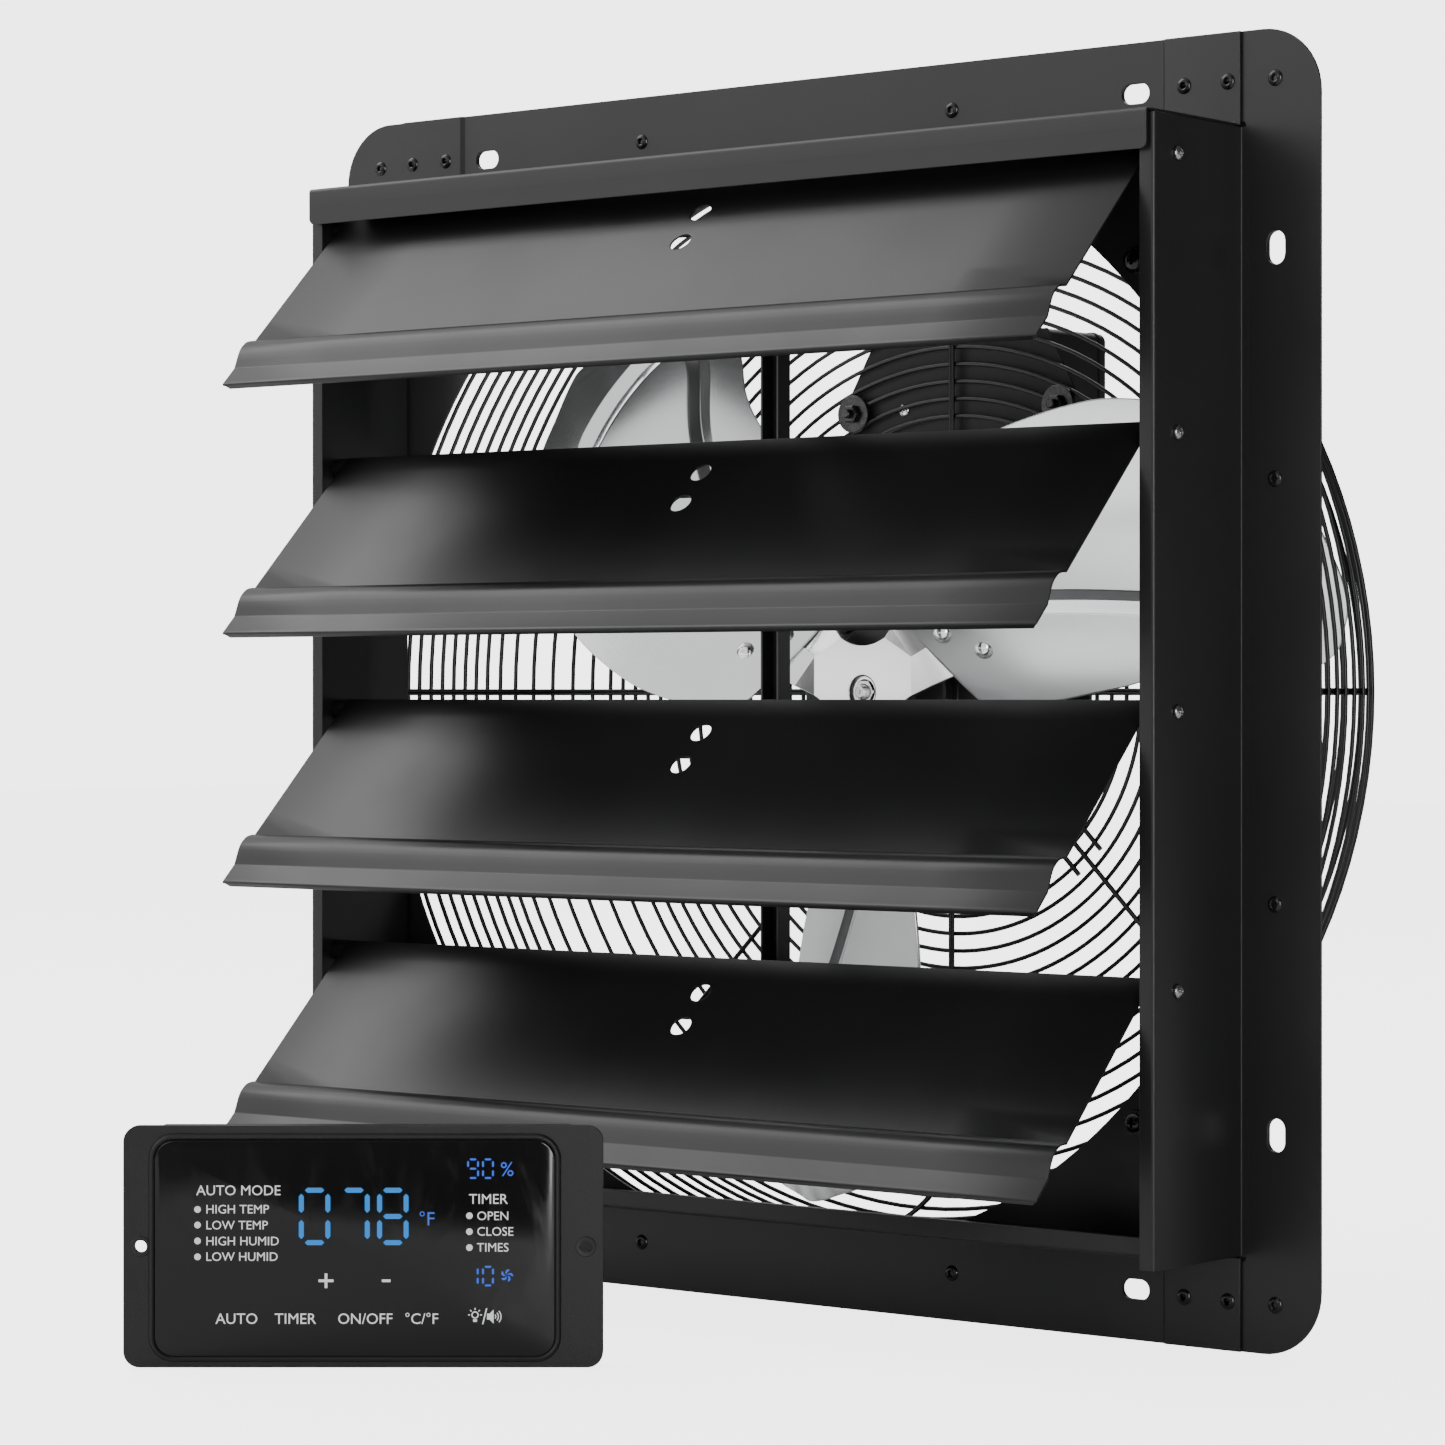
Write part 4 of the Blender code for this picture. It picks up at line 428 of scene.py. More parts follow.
def plate(loops, thickness, matrix):
    """Flat plate: the first loop is its outline and the others are holes, filled as a 2D curve in metres."""
    curve = bpy.data.curves.new("plate", "CURVE")
    curve.dimensions = "2D"
    curve.fill_mode = "BOTH"
    curve.extrude = thickness * MM / 2
    for loop in loops:
        spline = curve.splines.new("POLY")
        spline.points.add(len(loop) - 1)
        spline.use_cyclic_u = True
        for point, (x, y) in zip(spline.points, loop):
            point.co = (x * MM, y * MM, 0, 1)
    work = bmesh.new()
    work.from_mesh(filled(curve))
    bmesh.ops.remove_doubles(work, verts=work.verts, dist=0.004 * MM)
    points = np.array([vert.co[:] for vert in work.verts]) / MM
    faces = [[vert.index for vert in face.verts] for face in work.faces]
    work.free()
    return Shape().add(points, faces).move(matrix)


def upright(y):
    """Matrix that stands a flat plate in the XZ plane at a depth."""
    return Matrix.Translation((0, y, 0)) @ Matrix.Rotation(pi / 2, 4, "X")


def tube(path, radius, normal, sides=8, closed=False):
    """Round wire along a path in one plane: each ring stands square to the path."""
    normal = np.array(normal)
    ahead = np.roll(path, -1, axis=0) - np.roll(path, 1, axis=0) if closed else np.gradient(path, axis=0)
    across = unit(np.cross(ahead, normal))
    turn = turns(sides)[None, :, None]
    points = path[:, None] + (across[:, None] * np.cos(turn) + normal * np.sin(turn)) * radius
    return Shape().grid(points, wrap=closed)


def toward(place, direction):
    """Matrix that carries the Z axis to a direction, from a place."""
    turn = Vector((0, 0, 1)).rotation_difference(Vector(direction))
    return Matrix.Translation(place) @ turn.to_matrix().to_4x4()


def lathe(profile, sides, place=(0, 0, 0), direction=BACKWARD, closed=False):
    """Turned piece: (radius, along) points swept round an axis; ends on the axis are closed by fans."""
    turn = turns(sides)
    points, faces, rows = [], [], []
    for radius, along in profile:
        count = sides if radius > 0 else 1
        rows.append([len(points) + k % count for k in range(sides)])
        points += [(radius * cos(a), radius * sin(a), along) for a in turn[:count]]
    if closed:
        rows.append(rows[0])
    for first, second in zip(rows, rows[1:]):
        for k in range(sides):
            after = (k + 1) % sides
            face = list(dict.fromkeys((first[k], first[after], second[after], second[k])))
            if len(face) > 2:
                faces.append(face)
    return Shape().add(points, faces).move(toward(place, direction))


def drum(radius, height, sides, place, direction=BACKWARD):
    """Plain cylinder or prism."""
    return lathe([(0, 0), (radius, 0), (radius, height), (0, height)], sides, place, direction)


def screw_head(radius, height, place, direction, flat=0.5, recess="cross", sides=48):
    """Screw head: a polar height map, domed at the rim, with a cross or a six-sided pit in it."""
    rings = np.concatenate((np.linspace(0.04, 0.62, 11), np.linspace(0.66, 1.0, 8)))
    rho, phi = np.meshgrid(rings, turns(sides), indexing="ij")
    x, y = rho * np.cos(phi), rho * np.sin(phi)
    if recess == "cross":
        arm = np.minimum(np.maximum(np.abs(x), 4.2 * np.abs(y)), np.maximum(np.abs(y), 4.2 * np.abs(x)))
        pit = np.clip((0.56 - arm) * 5, 0, 1)
    else:
        side = rho * np.cos((phi + pi / 6) % (pi / 3) - pi / 6)
        pit = np.clip((0.44 - side) * 12, 0, 1)
    top = height * (1 - (1 - flat) * rho ** 3) - height * 0.72 * pit
    rim = np.stack((radius * x[-1], radius * y[-1], np.zeros(sides)), axis=1)
    points = np.concatenate((np.stack((radius * x, radius * y, top), axis=2), rim[None]))
    return Shape().grid(points).move(toward(place, direction))


def slot_hole(centre, along_x):
    """Outline of one mounting slot."""
    radius, reach, start = 4.6, 2.9, -pi / 2 if along_x else 0
    shift = np.array((reach, 0) if along_x else (0, reach))
    near = arc(centre + shift, radius, start, start + pi, 11)
    return near + arc(centre - shift, radius, start + pi, start + tau, 11)


def circle(centre, radius, count):
    return arc(centre, radius, 0, tau, count + 1)[:-1]


def layers(sections, half_width, half_height, corner, count=10):
    """Rows of a rounded rectangle, one for each (inset, depth)."""
    rows = []
    for inset, depth in sections:
        loop = rounded(half_width - inset, half_height - inset, corner - inset, count)
        rows.append([(x, depth, z) for x, z in loop])
    return rows


def soft_block(sections, half_width, half_height, corner, matrix, count=10):
    """Block with soft edges, made of such rows."""
    return Shape().grid(layers(sections, half_width, half_height, corner, count)).move(matrix)


# Shutter box


def side_panel(name, side):
    """Side wall: front lip, rounded bends, wall and flange with ears, slots and corner notches."""
    line = fillet([(244.2, -69.4), (251.4, -69.4), (251.4, 0.6), (256, 0.6)], 1.5)
    shape = folded([(side * x, y) for x, y in line], SHEET, -250.5, 250.5, "Z")
    ear_end, ear, half, corner = 214.1, 252.9, 293, 29.5
    middle, inner = half - corner, 252
    notch = arc((inner, 250.5), 2.65, -1.08, 1.08, 9)
    outline = [*notch, (inner, ear), (ear_end, ear), (ear_end, half)]
    outline += arc((middle, middle), corner, pi / 2, 0, 14)
    outline += arc((middle, -middle), corner, 0, -pi / 2, 14)
    outline += [(ear_end, -half), (ear_end, -ear), (inner, -ear)]
    outline += [(x, -z) for x, z in notch[::-1]]
    loops = [outline, slot_hole((270, 196), False), slot_hole((270, -196), False)]
    loops = [[(side * x, z) for x, z in loop] for loop in loops]
    shape.join(plate(loops, SHEET - 0.03, upright(0.6)))
    piece(name, shape, "sheet", "frame", bevel=0.22)


def top_panel():
    """Top of the box: lip with rounded corners, plate, bends, and the flange joggled over the ears."""
    half, plate_z, lip_y = 250, 251.7, -72.9
    shape = folded(fillet([(lip_y, 243), (lip_y, plate_z), (-4, plate_z)], 1.5), SHEET, -half, half, "X")
    low = arc((half - 3.2, 237.5), 3.2, -pi / 2, 0, 6)
    outline = low + [(half - 0.01, 249), (0.01 - half, 249)] + [(-x, z) for x, z in low[::-1]]
    shape.join(plate([outline], SHEET - 0.03, upright(lip_y)))
    flange_strip(shape, "top_panel", plate_z, 1)


def bottom_panel():
    """Bottom of the box, nested between the side walls."""
    half, plate_z, lip_y = 250.4, -246.4, -57.4
    shape = folded(fillet([(lip_y, -238.1), (lip_y, plate_z), (-4, plate_z)], 1.5), SHEET, -half, half, "X")
    flange_strip(shape, "bottom_panel", plate_z, -1)


def flange_strip(shape, name, plate_z, sign):
    """Add the flange of the top or bottom panel: flat middle with slots, ends one sheet further forward."""
    lap, flat, edge, reach = -0.9, 0.6, sign * 293, 210.5
    for low, high, depth in ((-210, 210, flat), (-250, -214, lap), (214, 250, lap)):
        bend = fillet([(-4.4, plate_z), (depth, plate_z), (depth, plate_z + sign * 4)], 1.5)
        shape.join(folded(bend, SHEET - 0.02, low, high, "X"))
    low, high = sorted((plate_z + sign * 2, edge))
    loops = [[(-reach, low), (reach, low), (reach, high), (-reach, high)]]
    loops += [slot_hole((side * 196, sign * 270), True) for side in SIDES]
    shape.join(plate(loops, SHEET - 0.04, upright(flat)))
    low, high = sorted((sign * 251.4, edge))
    joggle = ((210, flat), (211.2, flat), (213.2, lap), (252.4, lap))
    for side in SIDES:
        line = fillet([(side * x, y) for x, y in joggle], 0.8, 4)
        shape.join(folded(line, SHEET, low, high, "Z"))
    piece(name, shape, "sheet", "frame", bevel=0.22)


def back_panel():
    """Plate behind the flanges with its round air hole."""
    loops = [rounded(292, 292, 28.5, 14), circle((0, 0), 265.5, 160)]
    for sx, sz in CORNERS:
        loops.append(slot_hole((sx * 196, sz * 270), True))
        loops.append(slot_hole((sx * 270, sz * 196), False))
    piece("back_panel", plate(loops, SHEET, upright(2.1)), "sheet", "frame", bevel=0.2)


def flange_rivets():
    """Blind rivets of the flanges: domed head with a sunk middle in front, and the set end behind."""
    shape = Shape()
    head = [(1.3, 0.35), (1.45, 1.0), (1.9, 1.25), (2.6, 1.1), (3.3, 0.7), (3.7, 0.15), (3.7, 0.0), (0, 0.0),
            (0, 0.35)]
    places = ((269.7, 0, 270.8), (246, -1.5, 271), (223, -1.5, 271), (94, 0, 271), (269.5, 0, 94))
    for sx, sz in CORNERS:
        for x, y, z in places:
            shape.join(lathe(head, 24, (sx * x, y, sz * z), FORWARD))
            shape.join(lathe([(0, 1.3), (2.2, 1.1), (2.6, 0), (0, 0)], 20, (sx * x, 2.7, sz * z)))
    piece("flange_rivets", shape, "black_rivet", "frame", angle=30)


# Louvers


def louver_line():
    """Middle line of the louver sheet from its top edge down to its hem, as (along, out) pairs."""
    level, crest = 5.05, 8.95
    line = [(-2.0, level), (92.3, level)]
    for share in np.linspace(0, 1, 9)[1:]:
        line.append((92.3 + 6.6 * share, level + (crest - level) * sin(share * pi / 2) ** 0.9))
    for share in np.linspace(0, 1, 7)[1:]:
        line.append((98.9 + 5.6 * share, crest + 0.25 * sin(share * pi) - 0.55 * share ** 2))
    line += [(105.3, 8.15), (108.5, 6.72), (111.7, 5.29), (112.1, 5.11), (112.6, level)]
    tip, turn, reach = 123.75, 0.5, 2.7
    line.append((tip - 1.4, level))
    line += arc((tip - turn, level - turn), turn, pi / 2, 0, 4) + [(tip, 4.35)]
    line += arc((tip - turn, level - reach + turn), turn, 0, -pi / 2, 4)
    return line + [(tip - 9, level - reach)]


def louver(index):
    """Louver: one sheet with a raised bead, a hemmed tip, two round holes and an ear at each end."""
    line = louver_line()
    span, half, hem, level, hole_radius = 9.0, 241.0, 3.0, 5.05, 5.4
    steps = np.linspace(-span, span, 9)
    holes = (19.8, 40.7)
    along = sorted({-2.0, *(steps + holes[0]), *(steps + holes[1]), 60.0, 76.0, 92.3})
    across = sorted({-half, -180.0, -120.0, -60.0, *steps, 60.0, 120.0, 180.0, half})
    rows = [(s, level) for s in along] + line[2:]
    table, faces = {}, []

    def vertex(x, s, n):
        if abs(x) == half and n < 4.4:
            x = copysign(half - hem * min(1, (5.6 - n) / 2.6), x)
        return table.setdefault((round(x, 4), round(s, 4), round(n, 4)), len(table))

    for (s0, n0), (s1, n1) in zip(rows, rows[1:]):
        hole = n0 == n1 and any(middle - span - 0.01 < s0 and s1 < middle + span + 0.01 for middle in holes)
        for x0, x1 in zip(across, across[1:]):
            if not (hole and -span - 0.01 < x0 and x1 < span + 0.01):
                faces.append([vertex(x0, s0, n0), vertex(x1, s0, n0), vertex(x1, s1, n1), vertex(x0, s1, n1)])
    square = [(t, -span) for t in steps[:-1]] + [(span, t) for t in steps[:-1]]
    square += [(-t, span) for t in steps[:-1]] + [(-span, -t) for t in steps[:-1]]
    for middle in holes:
        rings = []
        for share in (0, 0.5, 0.85, 1):
            ring = []
            for x, s in square:
                keep = 1 - share * (1 - hole_radius / hypot(x, s))
                ring.append(vertex(x * keep, middle + s * keep, level))
            rings.append(ring)
        for outer, inner in zip(rings, rings[1:]):
            faces += [[outer[k - 1], outer[k], inner[k], inner[k - 1]] for k in range(len(outer))]
    ear = [(-2.0, 4.9)] + arc((0, 0), 5.2, 0.55 - pi, 0.2, 10) + [(10.5, 4.9)]
    for side in SIDES:
        faces.append([vertex(side * 239.6, s, n) for s, n in ear])
    points = [(x, -s, n) for x, s, n in table]
    matrix = Matrix.Translation((0, PIVOT_Y, PIVOT_Z[index])) @ Matrix.Rotation(OPEN_TILT, 4, "X")
    name = f"louver_{index + 1}"
    piece(name, Shape().add(points, faces).move(matrix), "louver", name, bevel=0.16, angle=38, wall=0.9)


def pivot_screws(index):
    """Pan head screws outside the walls, with their shanks running to the louver's ears."""
    shank = [(0, 0), (2.0, 0), (2.0, -11.2), (1.4, -13.9), (0, -13.9)]
    for word, side in (("left", -1), ("right", 1)):
        place = (side * 252.3, PIVOT_Y, PIVOT_Z[index])
        shape = screw_head(3.1, 2.1, place, (side, 0, 0), 0.45).join(lathe(shank, 20, place, (side, 0, 0)))
        piece(f"pivot_screw_{word}_{index + 1}", shape, "pivot_steel", f"louver_{index + 1}", angle=30)


# Wheel


def turned(along, across, angle):
    """X and Z of a place given along and across an arm of the wheel."""
    c, s = cos(angle), sin(angle)
    return along * c - across * s, along * s + across * c


def blade_slope(along):
    """Slope of the blade across its arm: it falls from root to tip."""
    return 0.76 + (0.348 - 0.76) * along / WHEEL_RADIUS


def blade_depth(along, across):
    """Depth of the blade's middle surface."""
    return BLADE_CENTRE - across * blade_slope(along)


# Outline of a blade and crease of its rib, along and across the arm, in thousandths of the wheel's radius
BLADE_OUTLINE = (
    (178, 125), (178, -128), (243, -167), (311, -197), (388, -224), (456, -247.5), (534, -264),
    (592, -281.5), (650, -312.6), (709, -364), (777, -403), (845, -408), (893, -383.5), (922, -361),
    (947, -320), (964, -264), (978, -204), (985, -180), (985, -160), (978, -126), (964, -78), (947, -19),
    (922, 29), (893, 75), (845, 118), (777, 162), (709, 188), (650, 204), (592, 216.5), (534, 222),
    (456, 222), (388, 215.5), (311, 197), (243, 167),
)
RIB_LOOP = (
    (300, 25), (345, -2), (390, -28), (437, -55), (512, -99), (576, -140), (630, -174), (672, -203),
    (706, -234), (738, -269), (768, -302), (798, -326), (828, -328), (852, -305), (865, -265), (871, -215),
    (872, -165), (867, -115), (857, -70), (842, -25), (820, 20), (785, 58), (725, 88), (640, 108),
    (540, 115), (440, 110), (360, 95), (308, 65),
)
RIB_SHARE = 20 / len(RIB_LOOP)
# Distances of the rows of faces from the crease, in millimetres
RIB_GAPS = (-7.0, -6.2, -5.7, -5.3, -4.9, -4.4, -3.4, -1.8, -0.7, -0.35, 0, 0.35, 0.8, 2.2, 4.2, 5.9, 6.4,
            6.8, 7.2, 8.0, 9.6)


def smooth_loop(points, count):
    """Closed Catmull-Rom curve through points given in thousandths."""
    a, b, c, d = (np.roll(points, shift, 0)[:, None] / 1000 for shift in (1, 0, -1, -2))
    t = np.linspace(0, 1, count, endpoint=False)[None, :, None]
    curve = 2 * b + (c - a) * t + (2 * a - 5 * b + 4 * c - d) * t ** 2 + (3 * b - a - 3 * c + d) * t ** 3
    return curve.reshape(-1, 2) / 2


def rib_depth(gap):
    """Depth of the pressed rib at a signed distance from its crease: two straight walls, corners rounded."""
    total = 0
    for shift in np.linspace(-0.45, 0.45, 9):
        away = gap + shift
        total = total + np.clip(np.minimum(1 + away / 5.2, 1 - away / 6.6), 0, 1)
    return total / 9 * 2.8


def blade(index):
    """Paddle blade with three dome rivets.

    Its rows run from a middle point out to the rib, along both walls of the rib, and on to the outline.
    The rib fades out toward the root."""
    loop = smooth_loop(RIB_LOOP, 16)
    loop = sum(np.roll(loop, shift, 0) for shift in range(-9, 10)) / 19
    outline = smooth_loop(BLADE_OUTLINE, 12)
    centre = np.array((0.69, -0.06))
    normal = aside(np.roll(loop, -1, 0) - np.roll(loop, 1, 0))
    normal *= np.sign(np.sum(normal * (loop - centre), axis=1))[:, None]
    place = np.arange(len(loop)) / len(loop)
    fade = np.clip(place * 11, 0, 1) * np.clip((RIB_SHARE - place) * 11, 0, 1)
    fade = fade * fade * (3 - 2 * fade)
    spread = normal * (0.3 + 0.7 * fade)[:, None] / WHEEL_RADIUS
    bearing, wanted = (np.arctan2(*(points - centre).T[::-1]) for points in (outline, loop))
    order = np.argsort(bearing)
    rim = [np.interp(wanted, bearing[order], outline[order, axis], period=tau) for axis in (0, 1)]
    rim = np.stack(rim, 1)
    ribbed = [loop + spread * gap for gap in RIB_GAPS]
    inner, outer = ribbed[0], ribbed[-1]
    rows = [centre + (inner - centre) * share for share in np.linspace(0.03, 0.96, 16)] + ribbed
    shares = (0.12, 0.25, 0.38, 0.5, 0.62, 0.74, 0.85, 0.93, 0.975, 1)
    rows += [outer + (rim - outer) * share for share in shares]
    along, across = np.moveaxis(np.array(rows) * WHEEL_RADIUS, 2, 0)
    depth = blade_depth(along, across)
    depth[16:16 + len(RIB_GAPS)] += rib_depth(np.array(RIB_GAPS))[:, None] * fade
    angle = BLADE_ANGLES[index]
    x, z = turned(along, across, angle)
    shape = Shape().grid(np.stack((x, depth, z), axis=2), open_end=True)
    piece(f"blade_{index + 1}", shape, "blade", "wheel", bevel=0.25, angle=40, wall=BLADE_SHEET)
    rivets = Shape()
    dome = [(0, 2.5), (1.3, 2.35), (2.6, 1.85), (3.7, 1.1), (4.4, 0.45), (4.6, 0.1), (4.6, -0.1), (0, -0.1)]
    tail = [(0, 1.6), (2.2, 1.3), (2.9, 0.3), (2.9, 0), (0, 0)]
    for along, across in ((55.6, 0.0), (66.8, 15.2), (66.8, -15.2)):
        slope = blade_slope(along)
        out = Vector((slope * sin(angle), -1, -slope * cos(angle))).normalized()
        x, z = turned(along, across, angle)
        base = Vector((x, blade_depth(along, across), z)) + out * BLADE_SHEET / 2
        rivets.join(lathe(dome, 28, base, out))
        rivets.join(lathe(tail, 20, base - out * 5.2, -out))
    piece(f"blade_rivets_{index + 1}", rivets, "rivet", "wheel", angle=30)


def hub():
    """Hub pressing: flat centre with six creases, round notches, three arms that twist toward the blades.

    In an arm's own plane the depth is a plane bent about the crease across the arm; its slope grows to the
    blade's slope, and its half width grows from 16.4 mm to 20.5 mm under the blade."""
    spots, faces = {}, []
    crease, shoulder, half, flat, hole = 34.2, 24.7, 16.4, 57.2, 8.2
    notch, notch_radius = (23.3, 23.3 * sqrt(3)), 23.96
    widths = ((crease, half), (38, half), (42, half), (45, half), (48, 16.8), (52, 18.6), (56, 20.5),
              (62, 20.5), (68, 20.5), (73.5, 20.5), (76, 19.9), (78.2, 18.2), (79.5, 15.6), (80, 13))

    def at(angle, along, across, depth):
        x, z = turned(along, across, angle)
        return spots.setdefault((round(x, 4), round(depth, 4), round(z, 4)), len(spots))

    def on_arm(angle, along, across):
        share = min(1, (along - crease) / 10.8)
        under_blade = BLADE_CENTRE + 3.13
        slope = 0.33 + (blade_slope(along) - 0.33) * share
        return at(angle, along, across, flat + (under_blade - flat) * share - across * slope)

    edge = [(crease + (shoulder - crease) * k / 4, half * k / 4) for k in range(5)]
    edge += arc(notch, notch_radius, -pi / 2, -tau / 3, 9)
    for angle in BLADE_ANGLES:
        for side in (1, -1):
            outer = [at(angle, a, c * side, flat) for a, c in edge]
            inner = [at(angle, *(np.array((a, c * side)) * hole / hypot(a, c)), flat) for a, c in edge]
            faces += [[inner[k], inner[k + 1], outer[k + 1], outer[k]] for k in range(len(edge) - 1)]
            faces.append(outer[:5] + [on_arm(angle, crease, half * side)])
            for (a, w), (b, v) in zip(widths, widths[1:]):
                loop = ((a, 0), (a, w * side), (b, v * side), (b, 0))
                faces.append([on_arm(angle, *point) for point in loop])
    rim = set()
    for face in faces:
        for pair in zip(face, face[1:] + face[:1]):
            rim ^= {frozenset(pair)}
    middle, count, wall = np.array(list(spots)), len(spots), np.array((0, 1.5, 0))
    faces += [[corner + count for corner in face] for face in faces]
    faces += [[u, v, v + count, u + count] for u, v in rim]
    shape = Shape().add(np.concatenate((middle - wall, middle + wall)), faces)
    piece("hub", shape, "hub", "wheel", bevel=0.35, angle=18)
    boss = [(6.3, 57.6), (13, 57.6), (13, 71.8), (12, 72.8), (6.3, 72.8)]
    piece("hub_boss", lathe(boss, 48, closed=True), "hub", "wheel", angle=30)
    # Painted shade: the cup round the nut is dark steel, standing for the shade in the recess about the nut.
    cup = [(6.25, 60.4), (6.25, 61.4), (8.9, 61.4), (8.9, 56.4), (8.2, 55.9), (7.7, 56.2), (7.7, 60.0)]
    piece("hub_cup", lathe(cup, 48, closed=True), "dark_steel", "wheel", angle=30)


def wheel_centre():
    """Nut with chamfered corners, and the threaded shaft end with its centre drilling."""
    corner, height, base = 6.2, 3.5, 59.9
    rows = []
    for limit, rise in ((0.66, 0), (0.9, 0), (1, 0.35), (1, height - 0.35), (0.9, height), (0.66, height)):
        row = []
        for a in turns(48):
            reach = corner * min(limit, cos(pi / 6) / cos((a % (pi / 3)) - pi / 6))
            row.append((reach * cos(a), base - height + rise, reach * sin(a)))
        rows.append(row)
    piece("hub_nut", Shape().grid(rows, wrap=True), "steel", "wheel", angle=25)
    profile = [(0, 55.0), (0.9, 53.9), (2.6, 53.5), (3.2, 54.1)]
    for turn in range(12):
        profile += [(3.5, 54.3 + turn * 0.5), (3.15, 54.55 + turn * 0.5)]
    profile += [(3.5, 60.5), (5.6, 60.5), (6.0, 60.9), (6.0, 124.8), (5.5, 125.2), (0, 125.2)]
    piece("shaft", lathe(profile, 40), "steel", "wheel", angle=25)


# Motor, guard and junction box


def motor():
    """Motor housing: ribbed can with a stepped nose, and a rear cover with screws."""
    profile = [(54, 125.5)]
    top, low = 60.0, 57.0
    pitch = (125.5 - 88.0) / 13
    for index in range(7):
        back = 125.5 - pitch * 2 * index
        front = back - pitch
        profile += [(top - 0.4, back), (top, back - 0.4), (top, front + 0.4), (top - 0.4, front)]
        if index < 6:
            profile += [(low, front), (low, front - pitch)]
    profile += [(57.5, 86.6), (54, 86.0), (36.5, 85.6)]
    for index in range(3):
        at = 85 - index * 3.4
        profile += [(36.0, at), (36.0, at - 2.0), (34.6, at - 2.2), (34.6, at - 3.2)]
    profile += [(36.0, 75.6), (35.2, 74.4), (33.5, 74.0), (20, 74.0), (19, 74.6), (10, 74.6), (9, 74.0),
                (6.6, 74.0), (6.6, 77.0), (16.3, 77.0), (16.3, 89.0), (54, 89.0)]
    shape, screws = lathe(profile, 96, closed=True), Shape()
    for a in pi / 4 + turns(4):
        x, z = turned(47, 0, a)
        shape.join(lathe([(0, 0), (4.4, 0), (4.4, 1.6), (3.9, 2.1), (0, 2.1)], 24, (x, 86.2, z), FORWARD))
        shape.join(screw_head(3.0, 1.8, (x, 84.1, z), FORWARD))
        x, z = turned(34, 0, a)
        screws.join(screw_head(5.2, 3.2, (x, 130.6, z), BACKWARD, 0.8, "hex"))
    piece("motor_housing", shape, "motor", "frame", angle=28)
    disc = [(0, 130.7), (84.2, 130.7), (85, 130.3), (85, 129.6), (84.4, 129.2), (61, 129.3), (0, 129.3)]
    piece("motor_mount_bracket", lathe(disc, 96), "wire", "frame", angle=28)
    piece("motor_screws", screws, "steel", "frame", angle=30)


GUARD_DEPTH = 132.0
# Distances of the outer rings along the side line of the guard
GUARD_RINGS = (4.4, 15.0, 25.9, 36.8, 47.6, 57.2, 66.6, 75.0, 83.2, 91.6, 99.9, 108.2, 116.6, 124.7, 134.0,
               139.1)
RING_WIRE, SPOKE_WIRE, PAIR_WIRE = 1.1, 1.3, 0.86
SPOKE_SETBACK = RING_WIRE + PAIR_WIRE - 0.3


def guard_rim(count):
    """Side line of the guard, as (radius, depth) pairs: a bend from the flat, and its foot."""
    start, middle, end = (np.array(p) for p in ((232.5, GUARD_DEPTH), (256.0, 120.0), (264.0, 84.0)))
    bend = [start * (1 - t) ** 2 + middle * 2 * t * (1 - t) + end * t ** 2 for t in np.linspace(0, 1, count)]
    return bend, end, np.array((268.5, 4.4))


def guard_rings():
    """Radius and depth of each ring: even steps on the flat, then set distances along the side line."""
    bend, _, foot = guard_rim(40)
    line = np.array(bend + [foot])
    length = np.concatenate(([0], np.cumsum(np.linalg.norm(np.diff(line, axis=0), axis=1))))
    side = [tuple(np.interp(at, length, line[:, axis]) for axis in (0, 1)) for at in GUARD_RINGS]
    return [(86.7 + 8.68 * step, GUARD_DEPTH) for step in range(17)] + side


def hoop(centre, radius, wire, count):
    """Wire ring about an axis along Y."""
    turn = turns(count)
    path = np.array(centre) + radius * np.stack((np.cos(turn), np.zeros(count), np.sin(turn)), 1)
    return tube(path, wire, BACKWARD, closed=True)


def guard():
    """Wire basket: round rings, and on their inside double and single spokes that bend over the rim."""
    shape = Shape()
    for radius, depth in guard_rings():
        shape.join(hoop((0, depth, 0), radius, RING_WIRE, 120))
    bend, end, foot = guard_rim(18)
    line = [(80.5, GUARD_DEPTH), (130.0, GUARD_DEPTH), (190.0, GUARD_DEPTH), *bend]
    line = np.array(line + [end + (foot - end) * t for t in (0.35, 0.7, 1)])
    spoke = line - aside(np.gradient(line, axis=0)) * SPOKE_SETBACK
    spoke[-1, 1] = max(spoke[-1, 1], 3.0)
    short = np.array(((80.5, GUARD_DEPTH - SPOKE_SETBACK), (118.0, GUARD_DEPTH - SPOKE_SETBACK)))

    def add(angle, offset, path, wire):
        x, z = turned(path[:, 0], offset, angle)
        shape.join(tube(np.stack((x, path[:, 1], z), 1), wire, (-sin(angle), 0, cos(angle))))

    for index, angle in enumerate(turns(8)):
        if index % 2:
            add(angle, 0, spoke, SPOKE_WIRE)
            add(angle, -9, short, SPOKE_WIRE)
            add(angle, 9, short, SPOKE_WIRE)
            x, z = turned(275.8, 0, angle)
            shape.join(hoop((x, 4.6, z), 4.6, 1.5, 32))
        else:
            add(angle, -0.82, spoke, PAIR_WIRE)
            add(angle, 0.82, spoke, PAIR_WIRE)
    shape.join(hoop((0, 132.4, 0), 80.5, 1.6, 120))
    piece("guard", shape, "wire", "frame", angle=60)


def guard_bolts():
    """Bolts that hold the guard: flanged heads in front, nuts and washers behind."""
    nut = [(0, 0), (4.5, 0), (4.5, 3.2), (2.2, 3.6), (2.2, 4.6), (0, 4.6)]
    for number, (sx, sz) in enumerate(CORNERS, 1):
        x, z = sx * 195, sz * 195
        shape = screw_head(4.2, 3.0, (x, 1.0, z), FORWARD)
        shape.join(drum(5.9, 0.9, 32, (x, 1.4, z), FORWARD)).join(drum(5.6, 0.9, 32, (x, 6.2, z)))
        piece(f"guard_bolt_{number}", shape.join(lathe(nut, 6, (x, 7.1, z))), "dark_steel", "frame", angle=30)


